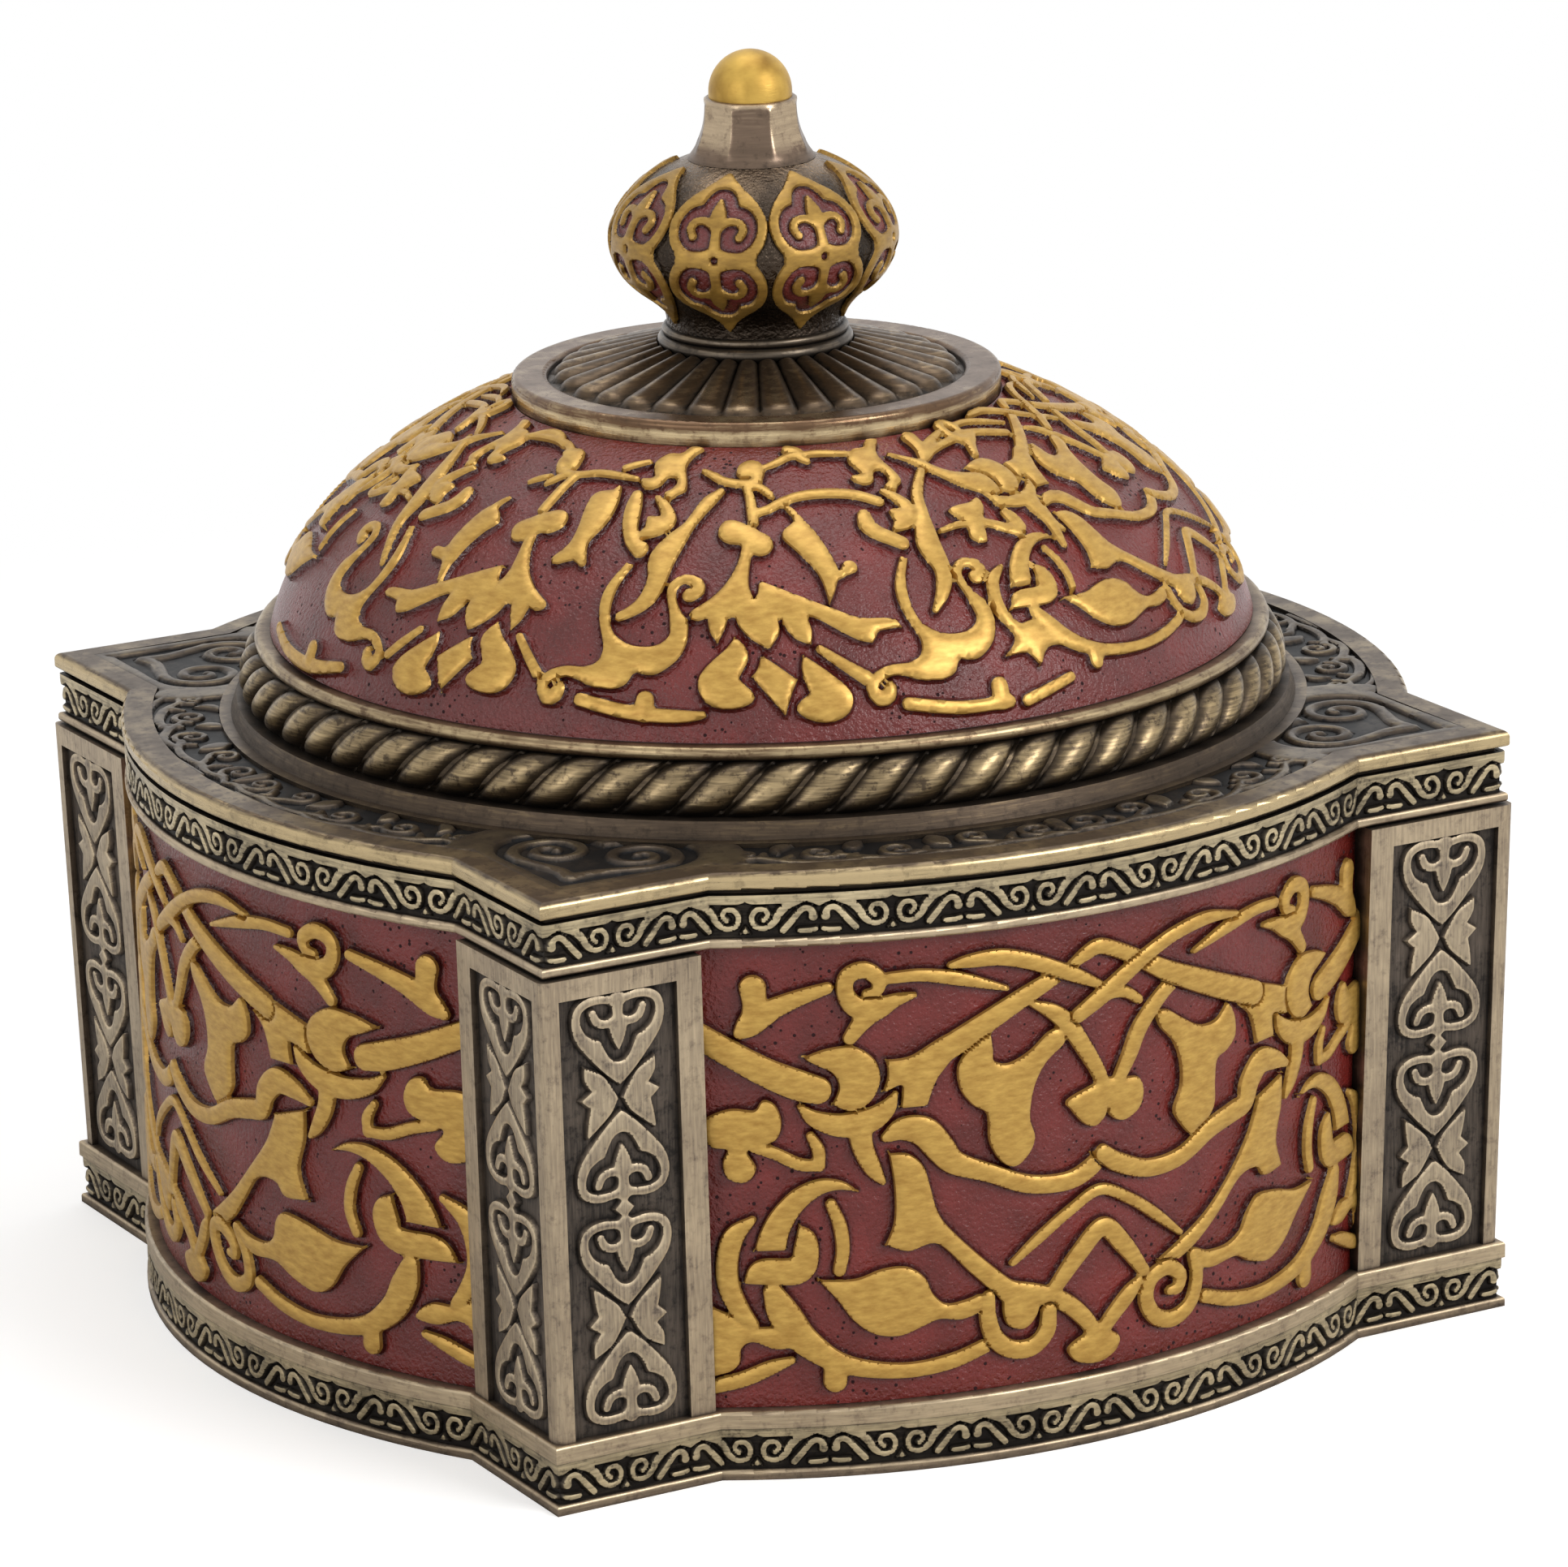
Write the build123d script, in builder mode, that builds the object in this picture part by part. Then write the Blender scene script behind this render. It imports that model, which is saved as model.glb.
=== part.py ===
from build123d import *
from math import asin, cos, degrees, radians, sin, sqrt
import os

# A square keepsake box with bowed sides, corner pillars and a loose domed lid.
# Millimetres, +Z up. The origin is the middle of the underside, and -Y is the front.

# Plan of the box, over the faces of its friezes
side_count = 4
box_side = 110.0
corner_width = 18.0
bow_rise = 10.6

# Base plinth, from the table upwards
bead_height = 1.0
frieze_height = 4.3
base_moulding_height = 1.7
bead_proud = 0.1
frieze_sunk = 0.55
bead_rounding = 0.35

# Floor and its two felts
felt_thickness = 1.0
felt_gap = 0.3
floor_thickness = 2.5
lining_thickness = 1.2

# Walls: a plain inner shell, clad with pillars and panels
wall_height = 46.8
cladding_depth = 2.6
shell_wall = 3.0
seam_height = 0.2
panel_recess = 1.0

# Corner pillars, which lean out a little towards the top
pillar_width = 17.3
pillar_foot_inset = 0.4
pillar_head_proud = 0.6
pillar_arris_radius = 0.9
arris_strip = 1.9
edge_strip = 2.7
head_strip = 2.1
field_depth = 0.8

# Lid: frieze ring, locating rim and plate
rim_gap = 0.5
rim_wall = 2.4
rim_drop = 3.0
groove_height = 0.5
groove_depth = 0.9
plate_thickness = 1.7
plate_proud = 0.2
plate_rounding = 0.7
plate_border = 3.0
scroll_field_depth = 0.5
scroll_field_gap = 1.2

# Ring that carries the rope, and the rope: each step stands outside the one above it
seat_slope = 0.6
seat_ledge_width = 1.6
seat_ledge_height = 1.7
rope_lean = 1.7
rope_height = 5.3
rope_thickness = 1.9

# Dome: half an ellipse, set in from the sides of the box and cut off by the collar's seat
dome_inset = 4.0
dome_rise = 32.1
dome_wall = 3.0
dome_bead_proud = 1.2
dome_bead_height = 1.4
dome_spring_drop = 4.7

# Collar and rosette on top of the dome
collar_radius = 25.0
collar_height = 2.5
collar_rounding = 0.6
collar_width = 3.7
rosette_rim_height = 1.6
rosette_cone_height = 5.0
rosette_flutes = 32
flute_radius = 0.45
flute_overrun = 1.2

# Finial
stem_radius = 10.0
stem_bead_height = 1.5
stem_bead_swell = 0.7
stem_fillet_height = 0.9
stem_fillet_swell = 0.225
bulb_foot_step = 0.3
bulb_swell = 5.4
bulb_height = 17.0
bulb_belly_height = 9.2
bulb_flank_inset = 2.0
bulb_flank_height = 4.6
bulb_shoulder_inset = 2.0
bulb_shoulder_rise = 4.1
shoulder_slope = 0.3
neck_foot_radius = 6.4
neck_waist_radius = 5.0
neck_head_radius = 4.65
neck_flare_height = 2.4
neck_height = 6.2
neck_sides = 8
neck_turn = 16.0
cap_radius = 4.25
cap_height = 4.8

# Screw that holds the finial from inside the dome
screw_radius = 2.0
screw_clearance = 0.15
screw_head_radius = 4.0
screw_head_height = 2.0
screw_reach = 6.0
slot_width = 0.9
slot_depth = 0.8

# Places worked out from the sizes above
side_turn = 360 / side_count
half_side = box_side / 2
half_chord = half_side - corner_width
bow_radius = (half_chord**2 + bow_rise**2) / (2 * bow_rise)
bow_centre = half_side + bow_rise - bow_radius
shell_inset = cladding_depth
cavity_inset = cladding_depth + shell_wall
rim_inset = cavity_inset + rim_gap
plinth_top = bead_height + frieze_height + base_moulding_height
floor_top = felt_thickness + floor_thickness
wall_top = plinth_top + wall_height
lid_base = wall_top + seam_height
frieze_top = lid_base + bead_height + frieze_height
plate_base = frieze_top + groove_height
plate_top = plate_base + plate_thickness
ledge_z = plate_top + seat_ledge_height
seat_top = ledge_z + rope_height
dome_foot = seat_top + dome_bead_height
dome_radius = half_side - dome_inset
rope_head_radius = dome_radius
rope_foot_radius = rope_head_radius + rope_lean
seat_ledge_radius = rope_foot_radius + seat_ledge_width
seat_foot_radius = seat_ledge_radius + seat_slope
dome_centre_z = dome_foot - dome_spring_drop
collar_inner_radius = collar_radius - collar_width
crown_z = dome_centre_z + dome_rise * sqrt(1 - (collar_radius / dome_radius) ** 2)
hollow_radius = dome_radius - dome_wall
stem_base = crown_z + rosette_cone_height
bulb_base = stem_base + stem_bead_height + stem_fillet_height
stem_fillet_radius = stem_radius - stem_bead_swell
bulb_foot_radius = stem_fillet_radius - bulb_foot_step
bulb_radius = bulb_foot_radius + bulb_swell
neck_base = bulb_base + bulb_height
neck_top = neck_base + neck_height
screw_seat_z = crown_z - dome_wall
screw_top = bulb_base + screw_reach
reach = 2 * box_side
level_margin = 0.01

os.makedirs("parts", exist_ok=True)


def save(part, name):
    """Labels a finished piece and writes it."""
    part.label = name
    export_step(part, f"parts/{name}.step")


def plan(inset, mode=Mode.ADD):
    """Adds the outline of the box, moved inwards by inset, to the sketch it is called in."""
    half = half_side - inset
    radius = bow_radius - inset
    corner_x = sqrt(radius**2 - (half - bow_centre) ** 2)
    with BuildSketch(mode=Mode.PRIVATE) as outline:
        Rectangle(2 * half, 2 * half)
        for turn in range(side_count):
            with BuildSketch(mode=Mode.PRIVATE) as bow:
                with BuildLine():
                    arc = ThreePointArc((-corner_x, -half), (0, -bow_centre - radius), (corner_x, -half))
                    Line(arc @ 1, arc @ 0)
                make_face()
            add(bow.sketch, rotation=side_turn * turn)
    add(outline.sketch, mode=mode)


def ring_band(base_z, height, outer_inset, inner_inset):
    """Extrudes a ring that follows the plan of the box."""
    with BuildSketch(Plane.XY.offset(base_z)) as band:
        plan(outer_inset)
        plan(inner_inset, mode=Mode.SUBTRACT)
    extrude(band.sketch, amount=height)


def round_outside(part, z, radius):
    """Rounds the outermost edges that follow the plan at height z."""
    level = part.edges().filter_by_position(Axis.Z, z - level_margin, z + level_margin)
    furthest = max(edge_reach(edge) for edge in level)
    outer = [edge for edge in level if edge_reach(edge) > furthest - level_margin]
    fillet(outer, radius=radius)


def edge_reach(edge):
    """How far the middle of an edge stands outside the plan of the box."""
    middle = edge @ 0.5
    across = min(abs(middle.X), abs(middle.Y))
    out = max(abs(middle.X), abs(middle.Y))
    if across > half_chord:
        return out - half_side
    return sqrt(across**2 + (out - bow_centre) ** 2) - bow_radius


def pillar_half(z):
    """Half the distance between opposite pillar faces at height z."""
    share = (z - plinth_top) / wall_height
    return half_side - pillar_foot_inset + share * (pillar_foot_inset + pillar_head_proud)


def pillar_inner(z):
    """How far a pillar's inner edge stands from the middle of its side at height z."""
    return pillar_half(z) - pillar_width


# Base plinth: bead, frieze ground and moulding in one casting
with BuildPart() as base_plinth:
    ring_band(0, bead_height, -bead_proud, cladding_depth)
    ring_band(bead_height, frieze_height, frieze_sunk, cladding_depth)
    ring_band(bead_height + frieze_height, base_moulding_height, -bead_proud, cladding_depth)
    round_outside(base_plinth.part, plinth_top, bead_rounding)
    round_outside(base_plinth.part, bead_height, bead_rounding)
save(base_plinth.part, "base_plinth")

# Floor plate, inside the foot of the plinth
with BuildPart() as floor_plate:
    with BuildSketch(Plane.XY.offset(felt_thickness)):
        plan(cladding_depth)
    extrude(amount=floor_thickness)
save(floor_plate.part, "floor_plate")

# Felt sheet under the floor plate, level with the underside of the bead
with BuildPart() as base_felt:
    with BuildSketch():
        plan(cladding_depth + felt_gap)
    extrude(amount=felt_thickness)
save(base_felt.part, "base_felt")

# Inner wall, which stands on the floor plate and carries the lid
with BuildPart() as body_shell:
    ring_band(floor_top, lid_base - floor_top, shell_inset, cavity_inset)
save(body_shell.part, "body_shell")

# Felt sheet on the floor inside
with BuildPart() as floor_lining:
    with BuildSketch(Plane.XY.offset(floor_top)):
        plan(cavity_inset + felt_gap)
    extrude(amount=lining_thickness)
save(floor_lining.part, "floor_lining")


def pillar_section(z):
    """Gives the angle-shaped section of the front left pillar at height z."""
    half = pillar_half(z)
    end = pillar_inner(z)
    inner = half_side - shell_inset
    with BuildSketch(Plane.XY.offset(z)) as section:
        with BuildLine():
            Polyline(
                (-half, -half),
                (-end, -half),
                (-end, -inner),
                (-inner, -inner),
                (-inner, -end),
                (-half, -end),
                close=True,
            )
        make_face()
        arris = section.vertices().group_by(Axis.Y)[0].sort_by(Axis.X)[0]
        fillet(arris, radius=pillar_arris_radius)
    return section.sketch


# Corner pillars: a leaning angle with a sunk field on each of its two faces
field_width = pillar_width - arris_strip - edge_strip
field_head_z = wall_top - head_strip
with BuildPart() as front_field:
    for z in (plinth_top, field_head_z):
        field_back = pillar_half(z) - field_depth
        with BuildSketch(Plane.XY.offset(z)):
            with Locations((-pillar_inner(z) - edge_strip, -field_back)):
                Rectangle(field_width, pillar_width, align=(Align.MAX, Align.MAX))
    loft(ruled=True)

with BuildPart() as corner_pillar:
    loft([pillar_section(plinth_top), pillar_section(wall_top)], ruled=True)
    add(front_field.part, mode=Mode.SUBTRACT)
    add(front_field.part.mirror(Plane.XZ).rotate(Axis.Z, side_turn), mode=Mode.SUBTRACT)

corner_names = ("front_left", "front_right", "back_right", "back_left")
for turn, corner in enumerate(corner_names):
    with BuildPart() as turned_pillar:
        add(corner_pillar.part, rotation=(0, 0, side_turn * turn))
    save(turned_pillar.part, f"corner_pillar_{corner}")

# Bowed enamel panels, set back between the pillars and cut to their leaning edges
with BuildPart() as enamel_panel:
    with BuildSketch(Plane.XY.offset(plinth_top)):
        plan(panel_recess)
        plan(shell_inset, mode=Mode.SUBTRACT)
        Rectangle(2 * pillar_inner(wall_top), reach, align=(Align.CENTER, Align.MAX), mode=Mode.INTERSECT)
    extrude(amount=wall_height)
    add(corner_pillar.part, mode=Mode.SUBTRACT)
    add(corner_pillar.part, rotation=(0, 0, side_turn), mode=Mode.SUBTRACT)

side_names = ("front", "right", "back", "left")
for turn, side in enumerate(side_names):
    with BuildPart() as turned_panel:
        add(enamel_panel.part, rotation=(0, 0, side_turn * turn))
    save(turned_panel.part, f"enamel_panel_{side}")

# Lid frieze: bead and frieze ground, resting on the inner wall
with BuildPart() as lid_frieze:
    ring_band(lid_base, bead_height, -bead_proud, rim_inset)
    ring_band(lid_base + bead_height, frieze_height, frieze_sunk, rim_inset)
    round_outside(lid_frieze.part, lid_base, bead_rounding)
    round_outside(lid_frieze.part, lid_base + bead_height, bead_rounding)
save(lid_frieze.part, "lid_frieze")

# Locating rim, which drops inside the inner wall
with BuildPart() as locating_rim:
    ring_band(lid_base - rim_drop, frieze_top - lid_base + rim_drop, rim_inset, rim_inset + rim_wall)
save(locating_rim.part, "locating_rim")

# Lid plate: groove, edge moulding and sunk fields round the dome's ring
with BuildPart() as scroll_fields:
    with BuildSketch(Plane.XY.offset(plate_top)):
        plan(plate_border)
        Circle(seat_foot_radius + scroll_field_gap, mode=Mode.SUBTRACT)
    extrude(amount=-scroll_field_depth)

with BuildPart() as lid_plate:
    with BuildSketch(Plane.XY.offset(frieze_top)):
        plan(groove_depth)
    extrude(amount=groove_height)
    with BuildSketch(Plane.XY.offset(plate_base)):
        plan(-plate_proud)
    extrude(amount=plate_thickness)
    round_outside(lid_plate.part, plate_top, plate_rounding)
    round_outside(lid_plate.part, plate_base, bead_rounding)
    with BuildSketch(Plane.XY.offset(frieze_top)):
        Circle(hollow_radius)
    extrude(amount=plate_top - frieze_top, mode=Mode.SUBTRACT)
    add(scroll_fields.part, mode=Mode.SUBTRACT)
save(lid_plate.part, "lid_plate")

# Rope seat: step, ledge and the slanting face that the rope lies on
with BuildPart() as rope_seat:
    with BuildSketch(Plane.XZ):
        with BuildLine():
            Polyline(
                (hollow_radius, plate_top),
                (seat_foot_radius, plate_top),
                (seat_ledge_radius, ledge_z),
                (rope_foot_radius, ledge_z),
                (rope_head_radius, seat_top),
                (hollow_radius, seat_top),
                close=True,
            )
        make_face()
    revolve(axis=Axis.Z)
save(rope_seat.part, "rope_seat")

# Rope moulding, with the outer shape of its twist
rope_middle = (
    (rope_foot_radius + rope_head_radius) / 2 + rope_thickness,
    (ledge_z + seat_top) / 2,
)
with BuildPart() as rope_moulding:
    with BuildSketch(Plane.XZ):
        with BuildLine():
            swell = ThreePointArc((rope_foot_radius, ledge_z), rope_middle, (rope_head_radius, seat_top))
            Line(swell @ 1, swell @ 0)
        make_face()
    revolve(axis=Axis.Z)
save(rope_moulding.part, "rope_moulding")

# Half-round bead at the foot of the dome
dome_bead_radius = dome_radius + dome_bead_proud
bead_edge_radius = dome_bead_radius - dome_bead_height / 2
with BuildPart() as dome_bead:
    with BuildSketch(Plane.XZ):
        with BuildLine():
            foot = Line((hollow_radius, seat_top), (bead_edge_radius, seat_top))
            round_face = ThreePointArc(
                foot @ 1,
                (dome_bead_radius, seat_top + dome_bead_height / 2),
                (bead_edge_radius, dome_foot),
            )
            Polyline(round_face @ 1, (hollow_radius, dome_foot), foot @ 0)
        make_face()
    revolve(axis=Axis.Z)
save(dome_bead.part, "dome_bead")


def dome_radius_at(z, wall):
    """Radius of the dome's skin at height z, wall inside its outer face."""
    share = (z - dome_centre_z) / (dome_rise - wall)
    return (dome_radius - wall) * sqrt(1 - share**2)


def ellipse_angle(z, wall):
    """Angle, in degrees, at which the dome's meridian passes height z."""
    return degrees(asin((z - dome_centre_z) / (dome_rise - wall)))


# Dome shell: the meridian is an ellipse, flat on top under the collar and rosette
with BuildPart() as dome_shell:
    with BuildSketch(Plane.XZ):
        with BuildLine():
            outside = EllipticalCenterArc(
                (0, dome_centre_z),
                dome_radius,
                dome_rise,
                start_angle=ellipse_angle(dome_foot, 0),
                arc_size=ellipse_angle(crown_z, 0) - ellipse_angle(dome_foot, 0),
            )
            crown = Line(outside @ 1, (screw_radius + screw_clearance, crown_z))
            bore = Line(crown @ 1, (screw_radius + screw_clearance, screw_seat_z))
            ceiling = Line(bore @ 1, (dome_radius_at(screw_seat_z, dome_wall), screw_seat_z))
            inside = EllipticalCenterArc(
                (0, dome_centre_z),
                dome_radius - dome_wall,
                dome_rise - dome_wall,
                start_angle=ellipse_angle(dome_foot, dome_wall),
                arc_size=ellipse_angle(screw_seat_z, dome_wall) - ellipse_angle(dome_foot, dome_wall),
            )
            Line(inside @ 0, outside @ 0)
        make_face()
    revolve(axis=Axis.Z)
save(dome_shell.part, "dome_shell")

# Collar round the top of the dome
with BuildPart() as crown_collar:
    with BuildSketch(Plane.XZ) as collar_section:
        with Locations((collar_inner_radius, crown_z)):
            Rectangle(
                collar_radius - collar_inner_radius,
                collar_height,
                align=(Align.MIN, Align.MIN),
            )
        fillet(collar_section.vertices().group_by(Axis.Y)[-1], radius=collar_rounding)
    revolve(axis=Axis.Z)
save(crown_collar.part, "crown_collar")

# Cutter for one flute, lying on the rosette's cone
rosette_rim_z = crown_z + rosette_rim_height
cone_slope = Vector(collar_inner_radius - stem_radius, 0, rosette_rim_z - stem_base)
cone_middle = ((collar_inner_radius + stem_radius) / 2, 0, (rosette_rim_z + stem_base) / 2)
with BuildPart(Plane(origin=cone_middle, z_dir=cone_slope)) as flute:
    Cylinder(flute_radius, cone_slope.length + 2 * flute_overrun)

# Rosette: a shallow cone with flutes that run up to the finial's stem
with BuildPart() as gadroon_rosette:
    with BuildSketch(Plane.XZ):
        with BuildLine():
            Polyline(
                (screw_radius + screw_clearance, crown_z),
                (collar_inner_radius, crown_z),
                (collar_inner_radius, rosette_rim_z),
                (stem_radius, stem_base),
                (screw_radius + screw_clearance, stem_base),
                close=True,
            )
        make_face()
    revolve(axis=Axis.Z)
    for count in range(rosette_flutes):
        add(flute.part, rotation=(0, 0, 360 * count / rosette_flutes), mode=Mode.SUBTRACT)
save(gadroon_rosette.part, "gadroon_rosette")

# Double bead under the finial
with BuildPart() as finial_stem_ring:
    with BuildSketch(Plane.XZ):
        with BuildLine():
            base_line = Line((screw_radius + screw_clearance, stem_base), (stem_fillet_radius, stem_base))
            big_bead = ThreePointArc(
                base_line @ 1,
                (stem_radius, stem_base + stem_bead_height / 2),
                (stem_fillet_radius, stem_base + stem_bead_height),
            )
            small_bead = ThreePointArc(
                big_bead @ 1,
                (stem_fillet_radius + stem_fillet_swell, bulb_base - stem_fillet_height / 2),
                (bulb_foot_radius, bulb_base),
            )
            Polyline(small_bead @ 1, (screw_radius + screw_clearance, bulb_base), base_line @ 0)
        make_face()
    revolve(axis=Axis.Z)
save(finial_stem_ring.part, "finial_stem_ring")

# Finial bulb: a turned bulb on a short waist, drilled for the screw
belly_z = bulb_base + bulb_belly_height
with BuildPart() as finial_bulb:
    with BuildSketch(Plane.XZ):
        with BuildLine():
            swell = Spline(
                (bulb_foot_radius, bulb_base),
                (bulb_radius - bulb_flank_inset, bulb_base + bulb_flank_height),
                (bulb_radius, belly_z),
                (bulb_radius - bulb_shoulder_inset, belly_z + bulb_shoulder_rise),
                (neck_foot_radius, neck_base),
                tangents=((0, 1), (-1, shoulder_slope)),
            )
            Polyline(
                swell @ 1,
                (0, neck_base),
                (0, screw_top),
                (screw_radius, screw_top),
                (screw_radius, bulb_base),
                swell @ 0,
            )
        make_face()
    revolve(axis=Axis.Z)
save(finial_bulb.part, "finial_bulb")

# Eight-sided neck, flared where it leaves the bulb
flat_share = cos(radians(180 / neck_sides))
with BuildPart() as finial_neck:
    neck_levels = (
        (neck_base, neck_foot_radius),
        (neck_base + neck_flare_height, neck_waist_radius),
        (neck_top, neck_head_radius),
    )
    for z, radius in neck_levels:
        with BuildSketch(Plane.XY.offset(z)):
            RegularPolygon(radius / flat_share, neck_sides, rotation=180 / neck_sides + neck_turn)
    loft(ruled=True)
save(finial_neck.part, "finial_neck")

# Gilt cap: a short post with a half-round top
with BuildPart() as finial_cap:
    with BuildSketch(Plane.XZ):
        with BuildLine():
            side = Line((cap_radius, neck_top), (cap_radius, neck_top + cap_height - cap_radius))
            tip = CenterArc((0, neck_top + cap_height - cap_radius), cap_radius, 0, 90)
            Polyline(tip @ 1, (0, neck_top), side @ 0)
        make_face()
    revolve(axis=Axis.Z)
save(finial_cap.part, "finial_cap")

# Slotted screw from inside the dome up into the bulb
with BuildPart() as finial_screw:
    with BuildSketch(Plane.XY.offset(screw_seat_z)):
        Circle(screw_head_radius)
    extrude(amount=-screw_head_height)
    with BuildSketch(Plane.XY.offset(screw_seat_z)):
        Circle(screw_radius)
    extrude(amount=screw_top - screw_seat_z)
    with BuildSketch(Plane.XY.offset(screw_seat_z - screw_head_height)):
        Rectangle(2 * screw_head_radius, slot_width)
    extrude(amount=slot_depth, mode=Mode.SUBTRACT)
save(finial_screw.part, "finial_screw")

print("height", round(neck_top + cap_height, 2))
print("width over the bows", round(2 * (half_side + bow_rise + plate_proud), 2))
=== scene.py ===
# %% Load the CAD frame
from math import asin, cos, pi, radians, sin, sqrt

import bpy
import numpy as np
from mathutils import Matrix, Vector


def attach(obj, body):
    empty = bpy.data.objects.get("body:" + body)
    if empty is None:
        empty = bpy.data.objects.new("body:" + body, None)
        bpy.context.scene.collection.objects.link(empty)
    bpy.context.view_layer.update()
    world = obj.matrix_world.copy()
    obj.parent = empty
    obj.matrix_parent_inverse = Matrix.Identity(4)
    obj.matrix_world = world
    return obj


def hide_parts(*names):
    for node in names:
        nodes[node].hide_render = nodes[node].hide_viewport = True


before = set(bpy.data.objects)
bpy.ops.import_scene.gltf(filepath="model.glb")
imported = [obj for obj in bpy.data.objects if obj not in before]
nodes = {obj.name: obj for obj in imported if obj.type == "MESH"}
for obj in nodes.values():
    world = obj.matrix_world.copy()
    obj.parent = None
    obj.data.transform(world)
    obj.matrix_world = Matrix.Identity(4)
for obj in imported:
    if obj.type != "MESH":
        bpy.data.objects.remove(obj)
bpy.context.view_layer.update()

# %% [markdown]
# # A domed trinket box
# The real box is cast in resin, coloured like old bronze, enamelled in deep red and gilded by hand.
# The CAD model gives every solid its true size. This lesson adds what a CAD model leaves out: the carved
# relief, the rope, the felt, the finishes and the light. All sizes below are in millimetres until a mesh
# is made, because that is how a carver would read them.

MM = 0.001


def new_object(name, data):
    """A new object in the scene."""
    made = bpy.data.objects.new(name, data)
    bpy.context.scene.collection.objects.link(made)
    return made


def points_of(node):
    """The points of a CAD node, in mm."""
    return np.array([v.co[:] for v in node.data.vertices]) / MM


def around(radius, angle, height):
    """Points at a radius and a height. The angle runs round the upright axis from the front."""
    return np.stack([radius * np.sin(angle), -radius * np.cos(angle), height], -1)


# %% [markdown]
# ## Camera
# The photograph was taken with a long lens from a little above the lid. The numbers below put the corners of
# the box on the same pixels as in the photograph. A camera matrix is used and not a Track To constraint,
# because the picture is also rolled by about one degree.

# %% Camera
LENS_MM, SENSOR_MM = 174.33, 36
VIEW_AZIMUTH, VIEW_ELEVATION, VIEW_ROLL = radians(-29.219), radians(15.940), radians(-1.192)
VIEW_DISTANCE = 0.78752
AIM_ASIDE, AIM_HEIGHT = 0.001961, 0.051427

back = Vector((
    sin(VIEW_AZIMUTH) * cos(VIEW_ELEVATION),
    -cos(VIEW_AZIMUTH) * cos(VIEW_ELEVATION),
    sin(VIEW_ELEVATION),
))
right = Vector((cos(VIEW_AZIMUTH), sin(VIEW_AZIMUTH), 0))
up = back.cross(right)
eye = Vector((0, 0, AIM_HEIGHT)) + right * AIM_ASIDE + back * VIEW_DISTANCE
rolled_right = right * cos(VIEW_ROLL) + up * sin(VIEW_ROLL)
rolled_up = up * cos(VIEW_ROLL) - right * sin(VIEW_ROLL)

camera = new_object("camera", bpy.data.cameras.new("camera"))
camera.data.lens = LENS_MM
camera.data.sensor_width = SENSOR_MM
camera.data.clip_start, camera.data.clip_end = 0.01, 20
turn = Matrix((rolled_right, rolled_up, back)).transposed().to_4x4()
camera.matrix_world = Matrix.Translation(eye) @ turn
bpy.context.scene.camera = camera
bpy.context.scene.view_settings.view_transform = "Standard"
print("camera at, mm:", [round(v / MM, 1) for v in eye])

# %% [markdown]
# ## Small helpers for materials
# A shader tree is a list of nodes and links. One helper adds a node, sets its inputs and links them, so that
# each finish below reads as a short recipe. Colours are written as they look on screen and turned to linear
# light by one function.

# %% Material helpers
def colour(hex_code):
    """An sRGB colour as linear RGBA."""
    channels = [int(hex_code[i:i + 2], 16) / 255 for i in (1, 3, 5)]
    return (*[c / 12.92 if c <= 0.04045 else ((c + 0.055) / 1.055) ** 2.4 for c in channels], 1)


def add(tree, kind, inputs=(), stops=(), **settings):
    """Adds a node. Inputs maps a socket's name or number to a value, or to the socket or node that feeds it.

    A node feeds from its first output in use. Stops are (place, hex code) pairs of a colour ramp, in order.
    """
    made = tree.nodes.new(kind)
    for key, value in settings.items():
        setattr(made, key, value)
    for key, value in dict(inputs).items():
        if isinstance(value, bpy.types.Node):
            value = next(socket for socket in value.outputs if socket.enabled)
        if isinstance(value, bpy.types.NodeSocket):
            tree.links.new(value, made.inputs[key])
        else:
            made.inputs[key].default_value = value
    if stops:
        elements = made.color_ramp.elements
        while len(elements) < len(stops):
            elements.new(0.5)
        for element, (place, hex_code) in zip(elements, stops):
            element.position, element.color = place, colour(hex_code)
    return made


def new_material(name):
    """An empty material, its tree, and the object coordinates that its patterns read."""
    material = bpy.data.materials.new(name)
    material.use_nodes = True
    tree = material.node_tree
    tree.nodes.clear()
    return material, tree, add(tree, "ShaderNodeTexCoord").outputs["Object"]


# %% [markdown]
# ## Old bronze
# Real name: cast polyresin under a cold bronze coat. A dark wash is brushed on and rubbed off again, so it
# stays in hollows and along inner corners, and the high places are brushed bright with streaks along the
# moulding. Ambient Occlusion finds the hollows and darkens them, for the wash and also as painted shade
# where less light falls in. Noise stretched along the brushing direction gives the streaks. What the eye
# gets is a soft metal sheen, dark in every corner, pale and warm on every edge.

# %% Old bronze
WASH_AND_SHADE_REACH_MM, BLOTCH_MM, SPOT_MM = 1.6, 9, 1.1
STREAK_MM, STREAK_LENGTH = 0.25, 14


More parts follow.
